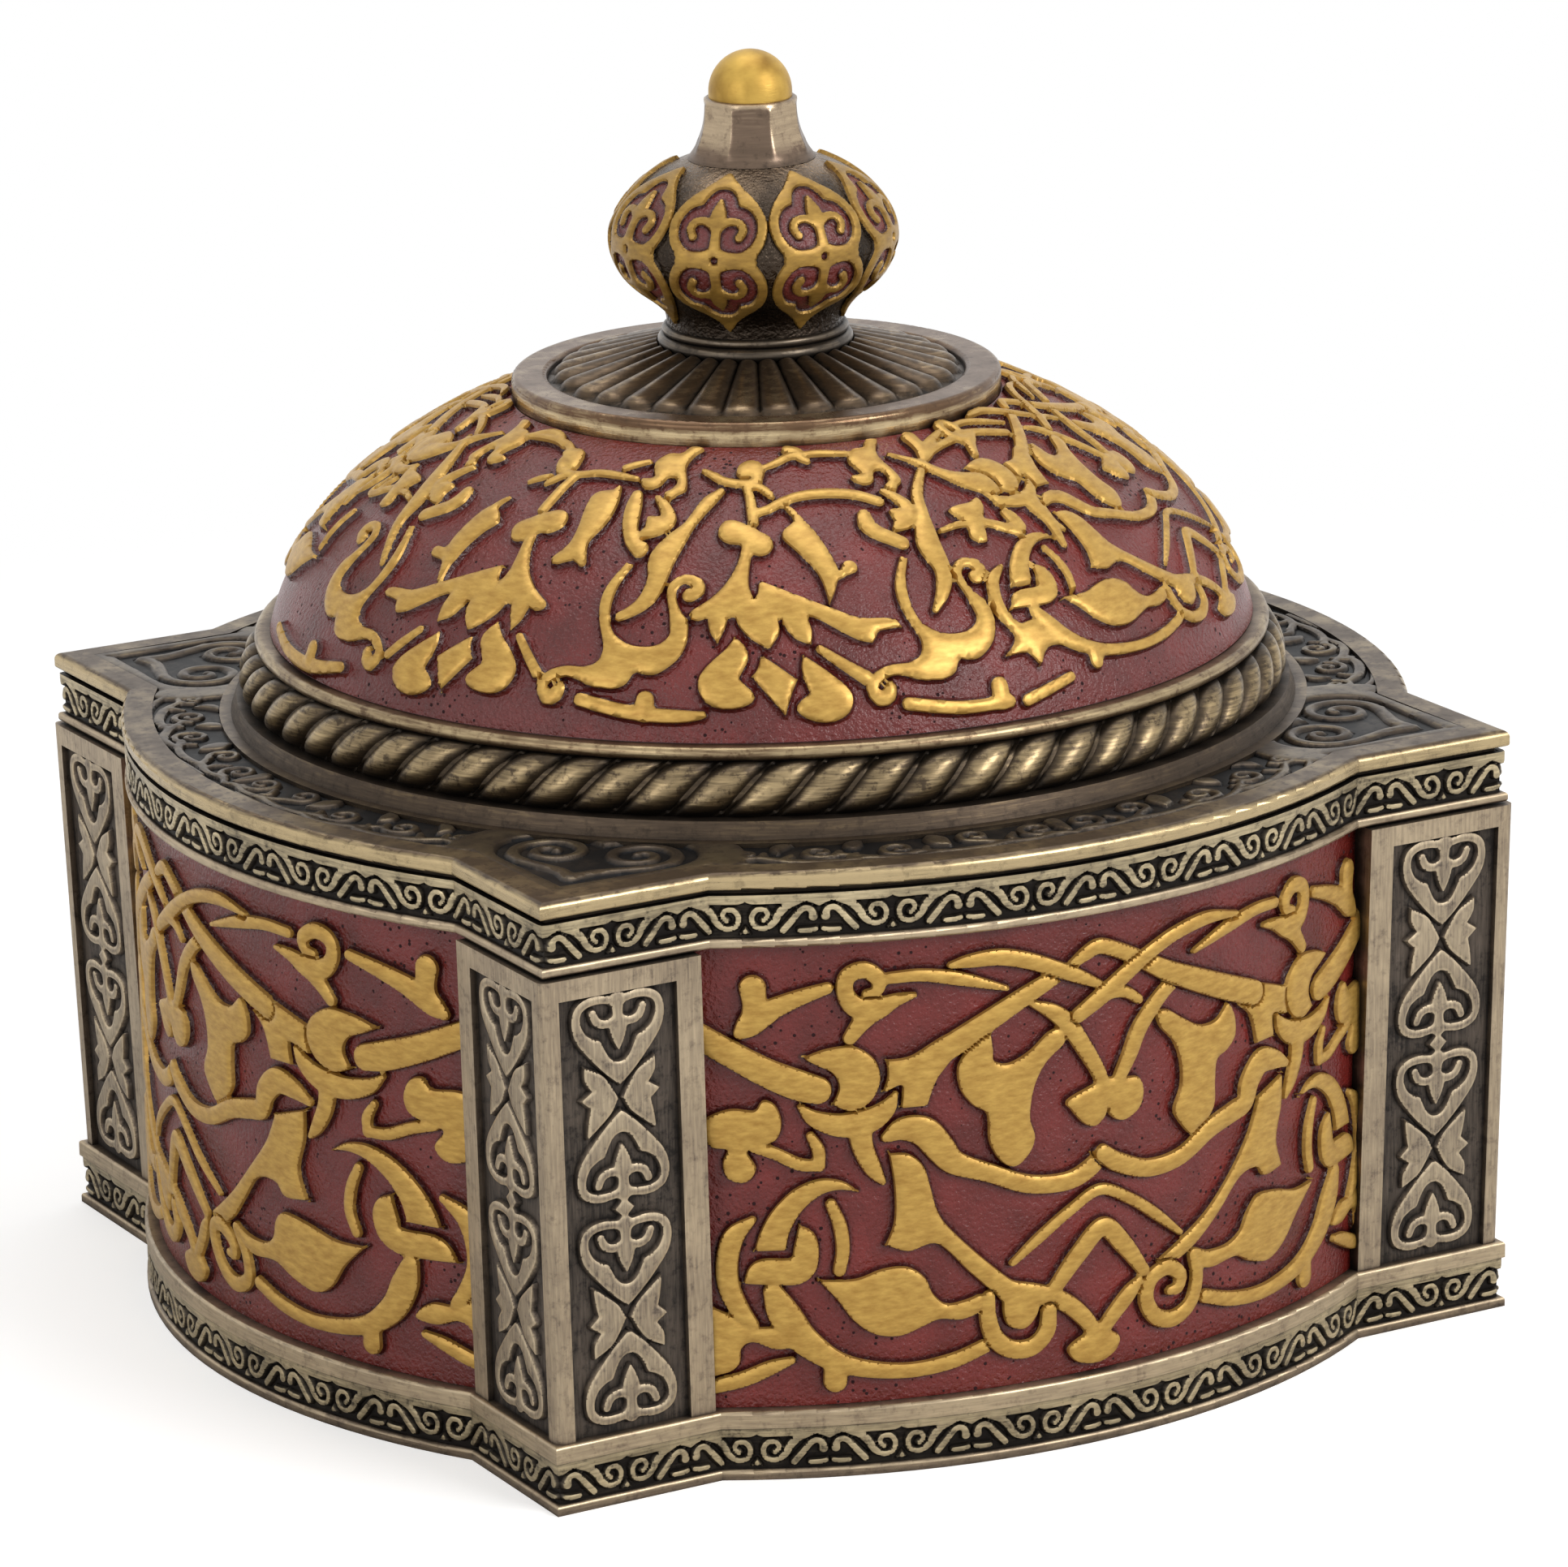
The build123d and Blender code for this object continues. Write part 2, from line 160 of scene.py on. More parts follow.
def old_bronze(name, dark, middle, bright, streaks="level", polish=0.5, roughness=0.38, carved=None,
               rims=0.0, below=None, mottle=0.6):
    """Bronze coat from three tones. Streaks run level or upright.

    Carved is the share of the polish that the ground of a carved piece keeps, and rims brightens its edges,
    as rubbed wear and as a painted highlight.
    Below is (height in mm, width of the change in mm, polish under that height). It paints a highlight on the
    rounded edges of the plate and the collar, and makes the foot of the neck darker. Mottle is how far the
    tone drifts with the streaks and blotches.
    """
    material, tree, place = new_material(name)
    stretch = {"level": (1, 1, STREAK_LENGTH), "upright": (STREAK_LENGTH, STREAK_LENGTH, 1)}[streaks]
    run = add(tree, "ShaderNodeMapping", {"Vector": place, "Scale": stretch})
    streak = add(tree, "ShaderNodeTexNoise", {
        "Vector": run, "Scale": 1 / (STREAK_MM * STREAK_LENGTH * MM), "Detail": 3, "Roughness": 0.6})
    blotch = add(tree, "ShaderNodeTexNoise", {
        "Vector": place, "Scale": 1 / (BLOTCH_MM * MM), "Detail": 4, "Roughness": 0.65})
    spots = add(tree, "ShaderNodeTexNoise", {
        "Vector": place, "Scale": 1 / (SPOT_MM * MM), "Detail": 6, "Roughness": 0.7})
    # Ambient Occlusion darkening: the real wash in the hollows, and painted shade in corners and under
    # mouldings.
    wash_and_shade = add(tree, "ShaderNodeAmbientOcclusion", {"Distance": WASH_AND_SHADE_REACH_MM * MM}, samples=6)
    open_share = add(tree, "ShaderNodeMapRange", {
        "Value": wash_and_shade.outputs["AO"], "From Min": 0.35, "From Max": 0.95})
    mottled = add(tree, "ShaderNodeMath", {0: streak, 1: blotch}, operation="ADD")
    shift = add(tree, "ShaderNodeMath", {0: mottled, 1: mottle, 2: -mottle}, operation="MULTIPLY_ADD")
    grime = add(tree, "ShaderNodeMapRange", {
        "Value": spots, "From Min": 0.52, "From Max": 0.68, "To Max": -0.2})
    shift = add(tree, "ShaderNodeMath", {0: shift, 1: grime}, operation="ADD")
    if carved is not None:
        rise = add(tree, "ShaderNodeAttribute", attribute_name="rise").outputs["Fac"]
        kept = add(tree, "ShaderNodeMapRange", {"Value": rise, "To Min": carved})
        open_share = add(tree, "ShaderNodeMath", {0: open_share, 1: kept}, operation="MULTIPLY")
        if rims:
            # Brighter rims on the tops of carved relief: rubbed wear and a painted highlight.
            gap = add(tree, "ShaderNodeAttribute", attribute_name="gap").outputs["Fac"]
            rim = add(tree, "ShaderNodeMapRange", {
                "Value": gap, "From Min": -0.32, "From Max": -0.04, "To Max": rims})
            shift = add(tree, "ShaderNodeMath", {0: rim, 1: rise, 2: shift}, operation="MULTIPLY_ADD")
    # Below a height the polish changes: a painted highlight on the plate and collar edges, a darker neck
    # foot.
    if below:
        level, width, low = below
        height = add(tree, "ShaderNodeSeparateXYZ", {0: place}).outputs["Z"]
        polish = add(tree, "ShaderNodeMapRange", {
            "Value": height, "From Min": (level - width / 2) * MM, "From Max": (level + width / 2) * MM,
            "To Min": low, "To Max": polish})
    tone = add(tree, "ShaderNodeMath", {
        0: open_share, 1: polish, 2: shift}, operation="MULTIPLY_ADD", use_clamp=True)
    paint = add(tree, "ShaderNodeValToRGB", {"Fac": tone}, [(0, dark), (0.5, middle), (1, bright)])
    gloss = add(tree, "ShaderNodeMapRange", {
        "Value": tone, "To Min": roughness + 0.22, "To Max": roughness - 0.06})
    bump = add(tree, "ShaderNodeBump", {"Height": mottled, "Strength": 0.35, "Distance": 0.06 * MM})
    skin = add(tree, "ShaderNodeBsdfPrincipled", {
        "Base Color": paint, "Metallic": 0.75, "Roughness": gloss, "Normal": bump})
    add(tree, "ShaderNodeOutputMaterial", {"Surface": skin})
    return material


# %% [markdown]
# Each part of the box has tones of its own. The rounded edges of the plate and of the collar are painted
# bright below a given height, as a painted highlight, and the neck is darker towards its foot.

# %% Bronze tones
# Below the plate and collar edge heights a highlight is painted, and below the neck height the neck is
# darker.
PLATE_EDGE_MM, COLLAR_EDGE_MM, NECK_DARK_MM = 61.25, 94.7, 118.6

moulding_bronze = old_bronze("moulding_bronze", "#2e2823", "#837260", "#cdb998", polish=0.84)
pillar_bronze = old_bronze("pillar_bronze", "#2b2621", "#76685a", "#c6b294", streaks="upright", polish=0.8)
plate_bronze = old_bronze("plate_bronze", "#26201a", "#574838", "#c2ac82", polish=0.55, roughness=0.3,
                          below=(PLATE_EDGE_MM, 0.3, 0.98))
bead_bronze = old_bronze("bead_bronze", "#2a2019", "#68533d", "#d3bd92", polish=0.66, roughness=0.3)
seat_bronze = old_bronze("seat_bronze", "#251e18", "#4b3e31", "#8f7a58", polish=0.5, roughness=0.36)
inside_bronze = old_bronze("inside_bronze", "#1d1916", "#3a332b", "#5d5141", polish=0.5, roughness=0.55)
collar_bronze = old_bronze("collar_bronze", "#2b211a", "#6d533c", "#d9c398", polish=0.5, roughness=0.2,
                           below=(COLLAR_EDGE_MM, 0.5, 0.95))
# On the neck, carved sets how dark the painted shade on every other facet is.
neck_bronze = old_bronze("neck_bronze", "#2c241d", "#756252", "#d3bd9c", polish=0.8, roughness=0.25,
                         carved=0.62, below=(NECK_DARK_MM, 2.6, 0.3), mottle=0.35)
stem_bronze = old_bronze("stem_bronze", "#1d1915", "#4b4238", "#a2917a", polish=0.6, roughness=0.25)
print("bronze finishes:", len(bpy.data.materials))

# %% [markdown]
# ## Gilding and screw steel
# Real name: brass-pigment paint on resin, brushed on and rubbed to a soft shine, for the cap of the finial.
# The screw that holds the finial from inside is zinc-plated steel, blue-white and slightly cloudy.

# %% Plain metals
def plain_metal(name, low, high, roughness, patch_mm, metallic=1.0):
    """A metal whose tone and roughness drift a little from place to place, with a fine brushed grain."""
    material, tree, place = new_material(name)
    patch = add(tree, "ShaderNodeTexNoise", {"Vector": place, "Scale": 1 / (patch_mm * MM), "Detail": 4})
    run = add(tree, "ShaderNodeMapping", {"Vector": place, "Scale": (1, 1, 6), "Rotation": (0.5, 0.2, 0)})
    brush = add(tree, "ShaderNodeTexNoise", {"Vector": run, "Scale": 1 / (0.8 * MM), "Detail": 4})
    tone = add(tree, "ShaderNodeValToRGB", {"Fac": patch}, [(0.32, low), (0.68, high)])
    rough = add(tree, "ShaderNodeMapRange", {
        "Value": brush, "To Min": roughness - 0.08, "To Max": roughness + 0.1})
    bump = add(tree, "ShaderNodeBump", {"Height": brush, "Strength": 0.35, "Distance": 0.05 * MM})
    skin = add(tree, "ShaderNodeBsdfPrincipled", {
        "Base Color": tone, "Metallic": metallic, "Roughness": rough, "Normal": bump})
    add(tree, "ShaderNodeOutputMaterial", {"Surface": skin})
    return material


cap_gilt = plain_metal("cap_gilt", "#9a742a", "#d3ac52", 0.42, 3.5, metallic=0.6)
screw_steel = plain_metal("screw_steel", "#8d949c", "#c3c8cc", 0.3, 3)
print("plain metals:", cap_gilt.name, screw_steel.name)

# %% [markdown]
# ## Bare enamel
# The dome shell is enamelled under its coat of arabesque, and its inside shows the bare red resin. It is
# tinted epoxy, poured and left glossy, so the eye gets a deep red with slow clouds and a soft shine.

# %% Bare enamel
dome_enamel, tree, place = new_material("dome_enamel")
cloud = add(tree, "ShaderNodeTexNoise", {
    "Vector": place, "Scale": 1 / (8 * MM), "Detail": 5, "Roughness": 0.6})
tone = add(tree, "ShaderNodeValToRGB", {"Fac": cloud}, [(0.3, "#542326"), (0.7, "#6d3335")])
rough = add(tree, "ShaderNodeMapRange", {"Value": cloud, "To Min": 0.35, "To Max": 0.55})
bump = add(tree, "ShaderNodeBump", {"Height": cloud, "Strength": 0.2, "Distance": 0.3 * MM})
skin = add(tree, "ShaderNodeBsdfPrincipled", {"Base Color": tone, "Roughness": rough, "Normal": bump})
add(tree, "ShaderNodeOutputMaterial", {"Surface": skin})
print("nodes in the bare enamel:", len(tree.nodes))

# %% [markdown]
# ## Finishes of the CAD nodes
# Solids that stay as CAD made them only need a finish. The others get one too, in case a piece is hidden.

# %% Finishes of the CAD nodes
finishes = {
    "base_plinth": moulding_bronze, "lid_frieze": moulding_bronze, "dome_bead": bead_bronze,
    "lid_plate": plate_bronze, "rope_seat": seat_bronze, "crown_collar": collar_bronze,
    "finial_stem_ring": stem_bronze, "finial_neck": neck_bronze, "finial_cap": cap_gilt,
    "finial_screw": screw_steel, "dome_shell": dome_enamel,
}
for name, node in nodes.items():
    finish = pillar_bronze if name.startswith("corner_pillar") else finishes.get(name, inside_bronze)
    node.data.materials.clear()
    node.data.materials.append(finish)
print("finishes set on", len(nodes), "CAD nodes")

# %% [markdown]
# ## Carving by distance
# The arabesque is drawn the way a carver draws it: straps of changing width, leaves and knobs, laid over
# each other. It could be modelled as many small pieces, but then every crossing would have to be trimmed.
# Here a drawing keeps, for each point of a fine grid, its distance in mm from the nearest outline, below zero
# on the ornament. Laying one more strap is then a minimum of two distances, and the groove that a strap cuts
# into the one below it is a maximum. The height of the relief and the place of the gilding both come from
# that distance.

# %% Curves and distances
FAR = 9.0
NEAR_MARGIN = 1.6
FILLET_MM = 0.3
CURVE_STEP_MM = 0.35


def curve_through(points, closed=False, step=CURVE_STEP_MM):
    """A smooth line through the points, all columns of them. A point given twice makes a corner."""
    p = np.array(points, float)
    p = np.vstack([p[-1:], p, p[:2]]) if closed else np.vstack([2 * p[0] - p[1], p, 2 * p[-1] - p[-2]])
    rows = []
    for a, b, c, d in zip(p[:-3], p[1:-2], p[2:-1], p[3:]):
        count = min(12, max(2, int(np.hypot(*(c - b)[:2]) / step)))
        t = np.arange(count)[:, None] / count
        bend = (2 * a - 5 * b + 4 * c - d) * t**2 + (3 * b - a - 3 * c + d) * t**3
        rows.append(b + 0.5 * ((c - a) * t + bend))
    if not closed:
        rows.append(p[-2:-1])
    return np.vstack(rows)


def from_line(px, py, a, b):
    """How far along the line from a to b each point lies, as a share, and its distance from the line."""
    dx, dy = b[0] - a[0], b[1] - a[1]
    t = np.clip(((px - a[0]) * dx + (py - a[1]) * dy) / max(dx * dx + dy * dy, 1e-12), 0, 1)
    return t, np.hypot(px - a[0] - t * dx, py - a[1] - t * dy)


# %% [markdown]
# The drawing itself knows two kinds of shape. A strap is a band along a line, and a leaf is a filled outline.
# Where the grid lies on a curved surface, its size says how many mm one unit of the drawing is there.

# %% A drawing of distances
class Drawing:
    """Raised ornament on a grid. Its gap is each point's distance in mm from the nearest outline."""

    def __init__(self, across, up, mm_per_unit=1.0):
        self.across, self.up = np.meshgrid(across, up, indexing="ij")
        self.size = np.broadcast_to(mm_per_unit, self.across.shape)
        self.gap = np.full(self.across.shape, FAR)
        self.marks = {}

    def near(self, points, margin):
        """The grid points in reach of a shape."""
        low = points.min(0) - margin / self.size.min()
        high = points.max(0) + margin / self.size.min()
        return (self.across > low[0]) & (self.across < high[0]) & (self.up > low[1]) & (self.up < high[1])

    def lay(self, where, distance, over):
        """Joins a shape to the drawing with small fillets, as cast metal has.

        Over is the width of the groove that the shape cuts into what lies below it.
        """
        old, fillet = self.gap[where], 0.0
        if over:
            old = np.maximum(old, over - distance)
        else:
            fillet = FILLET_MM / 4 * np.clip(1 - abs(old - distance) / FILLET_MM, 0, 1) ** 2
        self.gap[where] = np.minimum(old, distance) - fillet

    def strap(self, points, over=0.0):
        """A band through points of (across, up, half width in mm)."""
        line = points
        if len(points) > 2:
            line = curve_through(points, False, CURVE_STEP_MM / self.size.min())
        where = self.near(line[:, :2], line[:, 2].max() + NEAR_MARGIN)
        px, py, size = self.across[where], self.up[where], self.size[where]
        best = np.full(px.shape, FAR)
        for a, b in zip(line[:-1], line[1:]):
            t, apart = from_line(px, py, a, b)
            np.minimum(best, apart * size - a[2] - t * (b[2] - a[2]), out=best)
        self.lay(where, best, over)

    def leaf(self, points, over=0.0):
        """A filled closed outline through points of (across, up)."""
        line = curve_through(points, True, CURVE_STEP_MM / self.size.min())
        where = self.near(line, NEAR_MARGIN)
        px, py, size = self.across[where], self.up[where], self.size[where]
        best, inside = np.full(px.shape, FAR), np.zeros(px.shape, bool)
        for a, b in zip(line, np.roll(line, -1, 0)):
            np.minimum(best, from_line(px, py, a, b)[1] * size, out=best)
            if a[1] != b[1]:
                crossing = (py - a[1]) / (b[1] - a[1]) * (b[0] - a[0]) + a[0]
                inside ^= ((a[1] > py) != (b[1] > py)) & (px < crossing)
        self.lay(where, np.where(inside, -best, best), over)

    def draw(self, shapes, move=None):
        """Lays a list of (kind, points, groove). Move may shift, turn or scale the points first."""
        for kind, points, over in shapes:
            p = np.array(points, float)
            getattr(self, kind)(move(p) if move else p, over)

    def inlay(self, shapes, groove, move=None):
        """Lays shapes as one, with one groove of this width round them all."""
        ground, self.gap = self.gap, np.full(self.gap.shape, FAR)
        self.draw(shapes, move)
        self.gap = np.minimum(np.maximum(ground, groove - self.gap), self.gap)


# %% [markdown]
# Shapes are plain lists of points, so that they can be mirrored, shifted or upended before they are drawn.

# %% Shapes
def strap(*points, over=0.0):
    return ("strap", points, over)


def leaf(*points, over=0.0):
    """A filled outline. A point with a third number, 2, counts twice, so the outline has a corner there."""
    counted = [p[:2] for p in points for _ in range(p[2] if len(p) > 2 else 1)]
    return ("leaf", counted, over)


def even_leaf(*half):
    """A leaf that is alike on both sides of an upright line through zero."""
    return leaf(*half, *[(-p[0], *p[1:]) for p in reversed(half) if p[0]])


def knob(x, y, radius):
    return strap((x, y, radius), (x, y + 0.01, radius))


def changed(shapes, change):
    """The same shapes with every (across, up) changed."""
    return [(kind, [(*change(*p[:2]), *p[2:]) for p in points], over) for kind, points, over in shapes]


def mirrored(shapes, axis=0.0):
    """The same shapes on the other side of an upright axis."""
    return changed(shapes, lambda x, y: (2 * axis - x, y))


def shifted(shapes, across):
    """The same shapes further across."""
    return changed(shapes, lambda x, y: (x + across, y))


def upended(shapes, total, squeeze=1.0):
    """The same shapes upside down. Total is the sum of the old and the new height."""
    return changed(shapes, lambda x, y: (x, total - y * squeeze))


print("a strap is", strap((0, 0, 1), (1, 0, 1)))

# %% [markdown]
# ## From a drawing to a closed body
# A fine grid everywhere would waste faces on the plain ground, so each coarse cell is cut in four only near
# an outline. Grid points close to an outline are slid onto it, which makes the edges of the relief run smooth
# instead of in steps. A second row of points is slid to the foot of the wall.

# %% Points on the outlines
EDGE_ROUNDING, EDGE_CROWN = 0.22, 0.3
MOAT_DEPTH, MOAT_START, MOAT_WIDTH = 0.07, 0.2, 0.35


def relief_height(gap, height, rounding, crown):
    """How far a point stands out, from its distance: a crowned top, a steep wall and a slight moat."""
    top = height * (1 - rounding * np.exp(np.minimum(gap, 0) / crown))
    foot = -MOAT_DEPTH * np.exp(-np.maximum(gap - MOAT_START, 0) / MOAT_WIDTH)
    return np.where(gap <= 0, top, foot)


def slid_to_edges(gap, base, ring):
    """Gives the distance of each point after its slide, and its slide in grid cells both ways."""
    if ring:
        wide = np.linalg.norm(np.roll(base, -1, 0) - base, axis=2)
        slope_u = (np.roll(gap, -1, 0) - np.roll(gap, 1, 0)) / 2 / wide
    else:
        wide = np.linalg.norm(np.gradient(base, axis=0), axis=2)
        slope_u = np.gradient(gap, axis=0) / wide
    tall = np.linalg.norm(np.gradient(base, axis=1), axis=2)
    slope_v = np.gradient(gap, axis=1) / tall
    slope = np.hypot(slope_u, slope_v)
    nu, nv = slope_u / np.maximum(slope, 0.5), slope_v / np.maximum(slope, 0.5)
    cell = 1 / np.maximum(np.maximum(abs(nu) / wide, abs(nv) / tall), 1e-6)
    clear = slope > 0.5
    on_edge = clear & (abs(gap) < 0.5 * cell)
    on_foot = clear & (gap >= 0.5 * cell) & (gap < 1.5 * cell)
    target = np.where(on_edge, 0, np.where(on_foot, cell, gap))
    move = np.where(on_edge | on_foot, target - gap, 0)
    shift_u = np.clip(move * nu / wide, -0.5, 0.5)
    shift_v = np.clip(move * nv / tall, -0.5, 0.5)
    shift_v[:, [0, -1]] = 0
    if not ring:
        shift_u[[0, -1]] = 0
    return target, shift_u, shift_v


# %% [markdown]
# The faces follow from which coarse cells are cut. A whole cell beside a cut one takes up the extra points on
# its sides, so it has up to eight corners and no gap opens between them.

# %% Faces of a relief
FINE_REACH = 0.75


def quads(*corners):
    """Four-sided faces from four grids of point numbers."""
    return np.stack(corners, -1).reshape(-1, 4).tolist()


def fine_cells(gap, ring):
    """The coarse cells that are cut in four, and the grid points that come into use."""
    ni, nj = gap.shape
    cells_u, cells_v = (ni if ring else ni - 1) // 2, (nj - 1) // 2
    sharp = abs(gap) < FINE_REACH
    fine = np.zeros((cells_u, cells_v), bool)
    for a in range(3):
        rows = (2 * np.arange(cells_u) + a) % ni
        for b in range(3):
            fine |= sharp[rows][:, b:b + 2 * cells_v - 1:2]
    fine[:, [0, -1]] = True
    if not ring:
        fine[[0, -1]] = True
    level, upright = np.zeros((cells_u, cells_v + 1), bool), np.zeros((cells_u + 1, cells_v), bool)
    level[:, :-1] |= fine
    level[:, 1:] |= fine
    upright[:-1] |= fine
    upright[1:] |= fine
    if ring:
        upright[0] |= upright[-1]
    used = np.zeros((ni, nj), bool)
    used[::2, ::2] = True
    used[1::2, 1::2] = fine
    used[1::2, ::2] = level
    used[::2, 1::2] = upright[:-1] if ring else upright
    return fine, used


def front_faces(fine, number):
    """Faces over the numbered grid: four small ones in each fine cell, and one in each whole cell."""
    cells_u, cells_v = fine.shape

    def corner(du, dv):
        return number[du:du + 2 * cells_u - 1:2, dv:dv + 2 * cells_v - 1:2]

    faces = []
    for du, dv in ((0, 0), (1, 0), (0, 1), (1, 1)):
        faces += quads(*[corner(du + a, dv + b)[fine] for a, b in ((0, 0), (1, 0), (1, 1), (0, 1))])
    loop = ((0, 0), (1, 0), (2, 0), (2, 1), (2, 2), (1, 2), (0, 2), (0, 1))
    whole = np.stack([corner(du, dv)[~fine] for du, dv in loop], -1)
    return faces + [[v for v in face if v >= 0] for face in whole.tolist()]


# %% [markdown]
# The body is closed with a plain back and sides, so that its surface has no open edge.

# %% Relief bodies
def carve(drawing, place, height, thickness, ring=False, open_ends=False, back_rows=1,
          rounding=EDGE_ROUNDING, crown=EDGE_CROWN):
    """A closed body: the drawing raised by height on the surface that place(across, up, out) gives, in mm.

    Gives its points, faces and fields. Open ends are left out where copies of a motif will meet.
    """
    gap, across, up = drawing.gap, drawing.across, drawing.up
    ni, nj = gap.shape
    target, shift_u, shift_v = slid_to_edges(gap, place(across, up, np.zeros_like(gap)), ring)
    out = relief_height(target, height, rounding, crown)
    step_u, step_v = across[1, 0] - across[0, 0], up[0, 1] - up[0, 0]
    points = place(across + shift_u * step_u, up + shift_v * step_v, out)
    fine, used = fine_cells(gap, ring)
    number = np.full((ni, nj), -1)
    number[used] = np.arange(used.sum())
    wrap = np.vstack([number, number[:1]]) if ring else number
    faces = front_faces(fine, wrap)

    front = points[used]
    back_j = np.linspace(0, nj - 1, back_rows + 1).round().astype(int)
    behind = place(across[:, back_j], up[:, back_j], np.full((ni, back_rows + 1), -thickness))
    back = len(front) + np.arange(ni * (back_rows + 1)).reshape(ni, -1)
    wrap_back = np.vstack([back, back[:1]]) if ring else back
    i0, i1 = wrap_back[:-1], wrap_back[1:]
    faces += quads(i0[:, :-1], i0[:, 1:], i1[:, 1:], i1[:, :-1])
    faces += quads(i0[:, 0], i1[:, 0], wrap[1:, 0], wrap[:-1, 0])
    faces += quads(wrap[:-1, -1], wrap[1:, -1], i1[:, -1], i0[:, -1])
    if not ring and not open_ends:
        for k in range(back_rows):
            span = slice(back_j[k], back_j[k + 1] + 1)
            faces.append([*number[0, span].tolist()[::-1], int(back[0, k]), int(back[0, k + 1])])
            faces.append([*number[-1, span].tolist(), int(back[-1, k + 1]), int(back[-1, k])])
    count = behind.size // 3
    fields = {
        "gap": np.concatenate([target[used], np.full(count, FAR)]),
        "rise": np.concatenate([np.clip(out[used] / height, 0, 1), np.zeros(count)]),
    }
    for key, values in drawing.marks.items():
        fields[key] = np.concatenate([values[used], np.full(count, FAR)])
    return np.vstack([front, behind.reshape(-1, 3)]), faces, fields


def joined(parts):
    """Several bodies of (points, faces, fields) as one."""
    vertices, faces, fields, count = [], [], {}, 0
    for points, loops, values in parts:
        vertices.append(points)
        faces += [[v + count for v in loop] for loop in loops]
        for key, column in values.items():
            fields.setdefault(key, []).append(column)
        count += len(points)
    return np.vstack(vertices), faces, {key: np.concatenate(columns) for key, columns in fields.items()}


# %% [markdown]
# Points and faces become a Blender mesh. It is shaded smooth, but for edges sharper than an angle.

# %% Bodies and pieces
SHARP_ANGLE = radians(38)


def report(name, mesh):
    """Prints the size of a mesh."""
    triangles = sum(len(p.vertices) - 2 for p in mesh.polygons)
    print(f"{name}: {len(mesh.vertices)} points, {triangles} triangles")


def body_from(name, vertices, faces, fields=None):
    """A mesh object from points in mm and faces, with its fields as attributes."""
    mesh = bpy.data.meshes.new(name)
    mesh.from_pydata((vertices * MM).tolist(), [], faces)
    for field, values in (fields or {}).items():
        attribute = mesh.attributes.new(field, "FLOAT", "POINT")
        attribute.data.foreach_set("value", np.asarray(values, np.float32))
    mesh.polygons.foreach_set("use_smooth", np.ones(len(mesh.polygons), bool))
    mesh.set_sharp_from_angle(angle=SHARP_ANGLE)
    mesh.update()
    report(name, mesh)
    return new_object(name, mesh)


def finish_piece(piece, body, material, slot, *stands_for):
    """Gives a piece its finish and body, and hides the CAD nodes that it stands for."""
    piece.data.materials.clear()
    piece.data.materials.append(material)
    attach(piece, body)
    if stands_for:
        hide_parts(*stands_for)


# %% [markdown]
# ## Enamel and gilding
# Real name: tinted epoxy enamel over resin, with hand-painted brass-pigment gilding on the raised parts. Tiny
# air bubbles leave pinholes in the enamel, and it pools darker where it meets a wall; that dark band round
# each strap is also painted shade at the foot of the relief. The gilding shows brush strokes. The gap
# attribute puts the edge of the gilding just below the rim of each strap.

# %% Gilded enamel
GILD_LIMIT, POOL_AND_SHADE_WIDTH = 0.10, 0.5
PINHOLE_MM, PINHOLE_TONE = 0.95, "#2b0d10"
GILT_EDGE_DARKENING, RIM_TONE = 0.3, "#7a5726"
LIGHTER_FROM_MM, LIGHTER_TO_MM = 113.5, 117.5


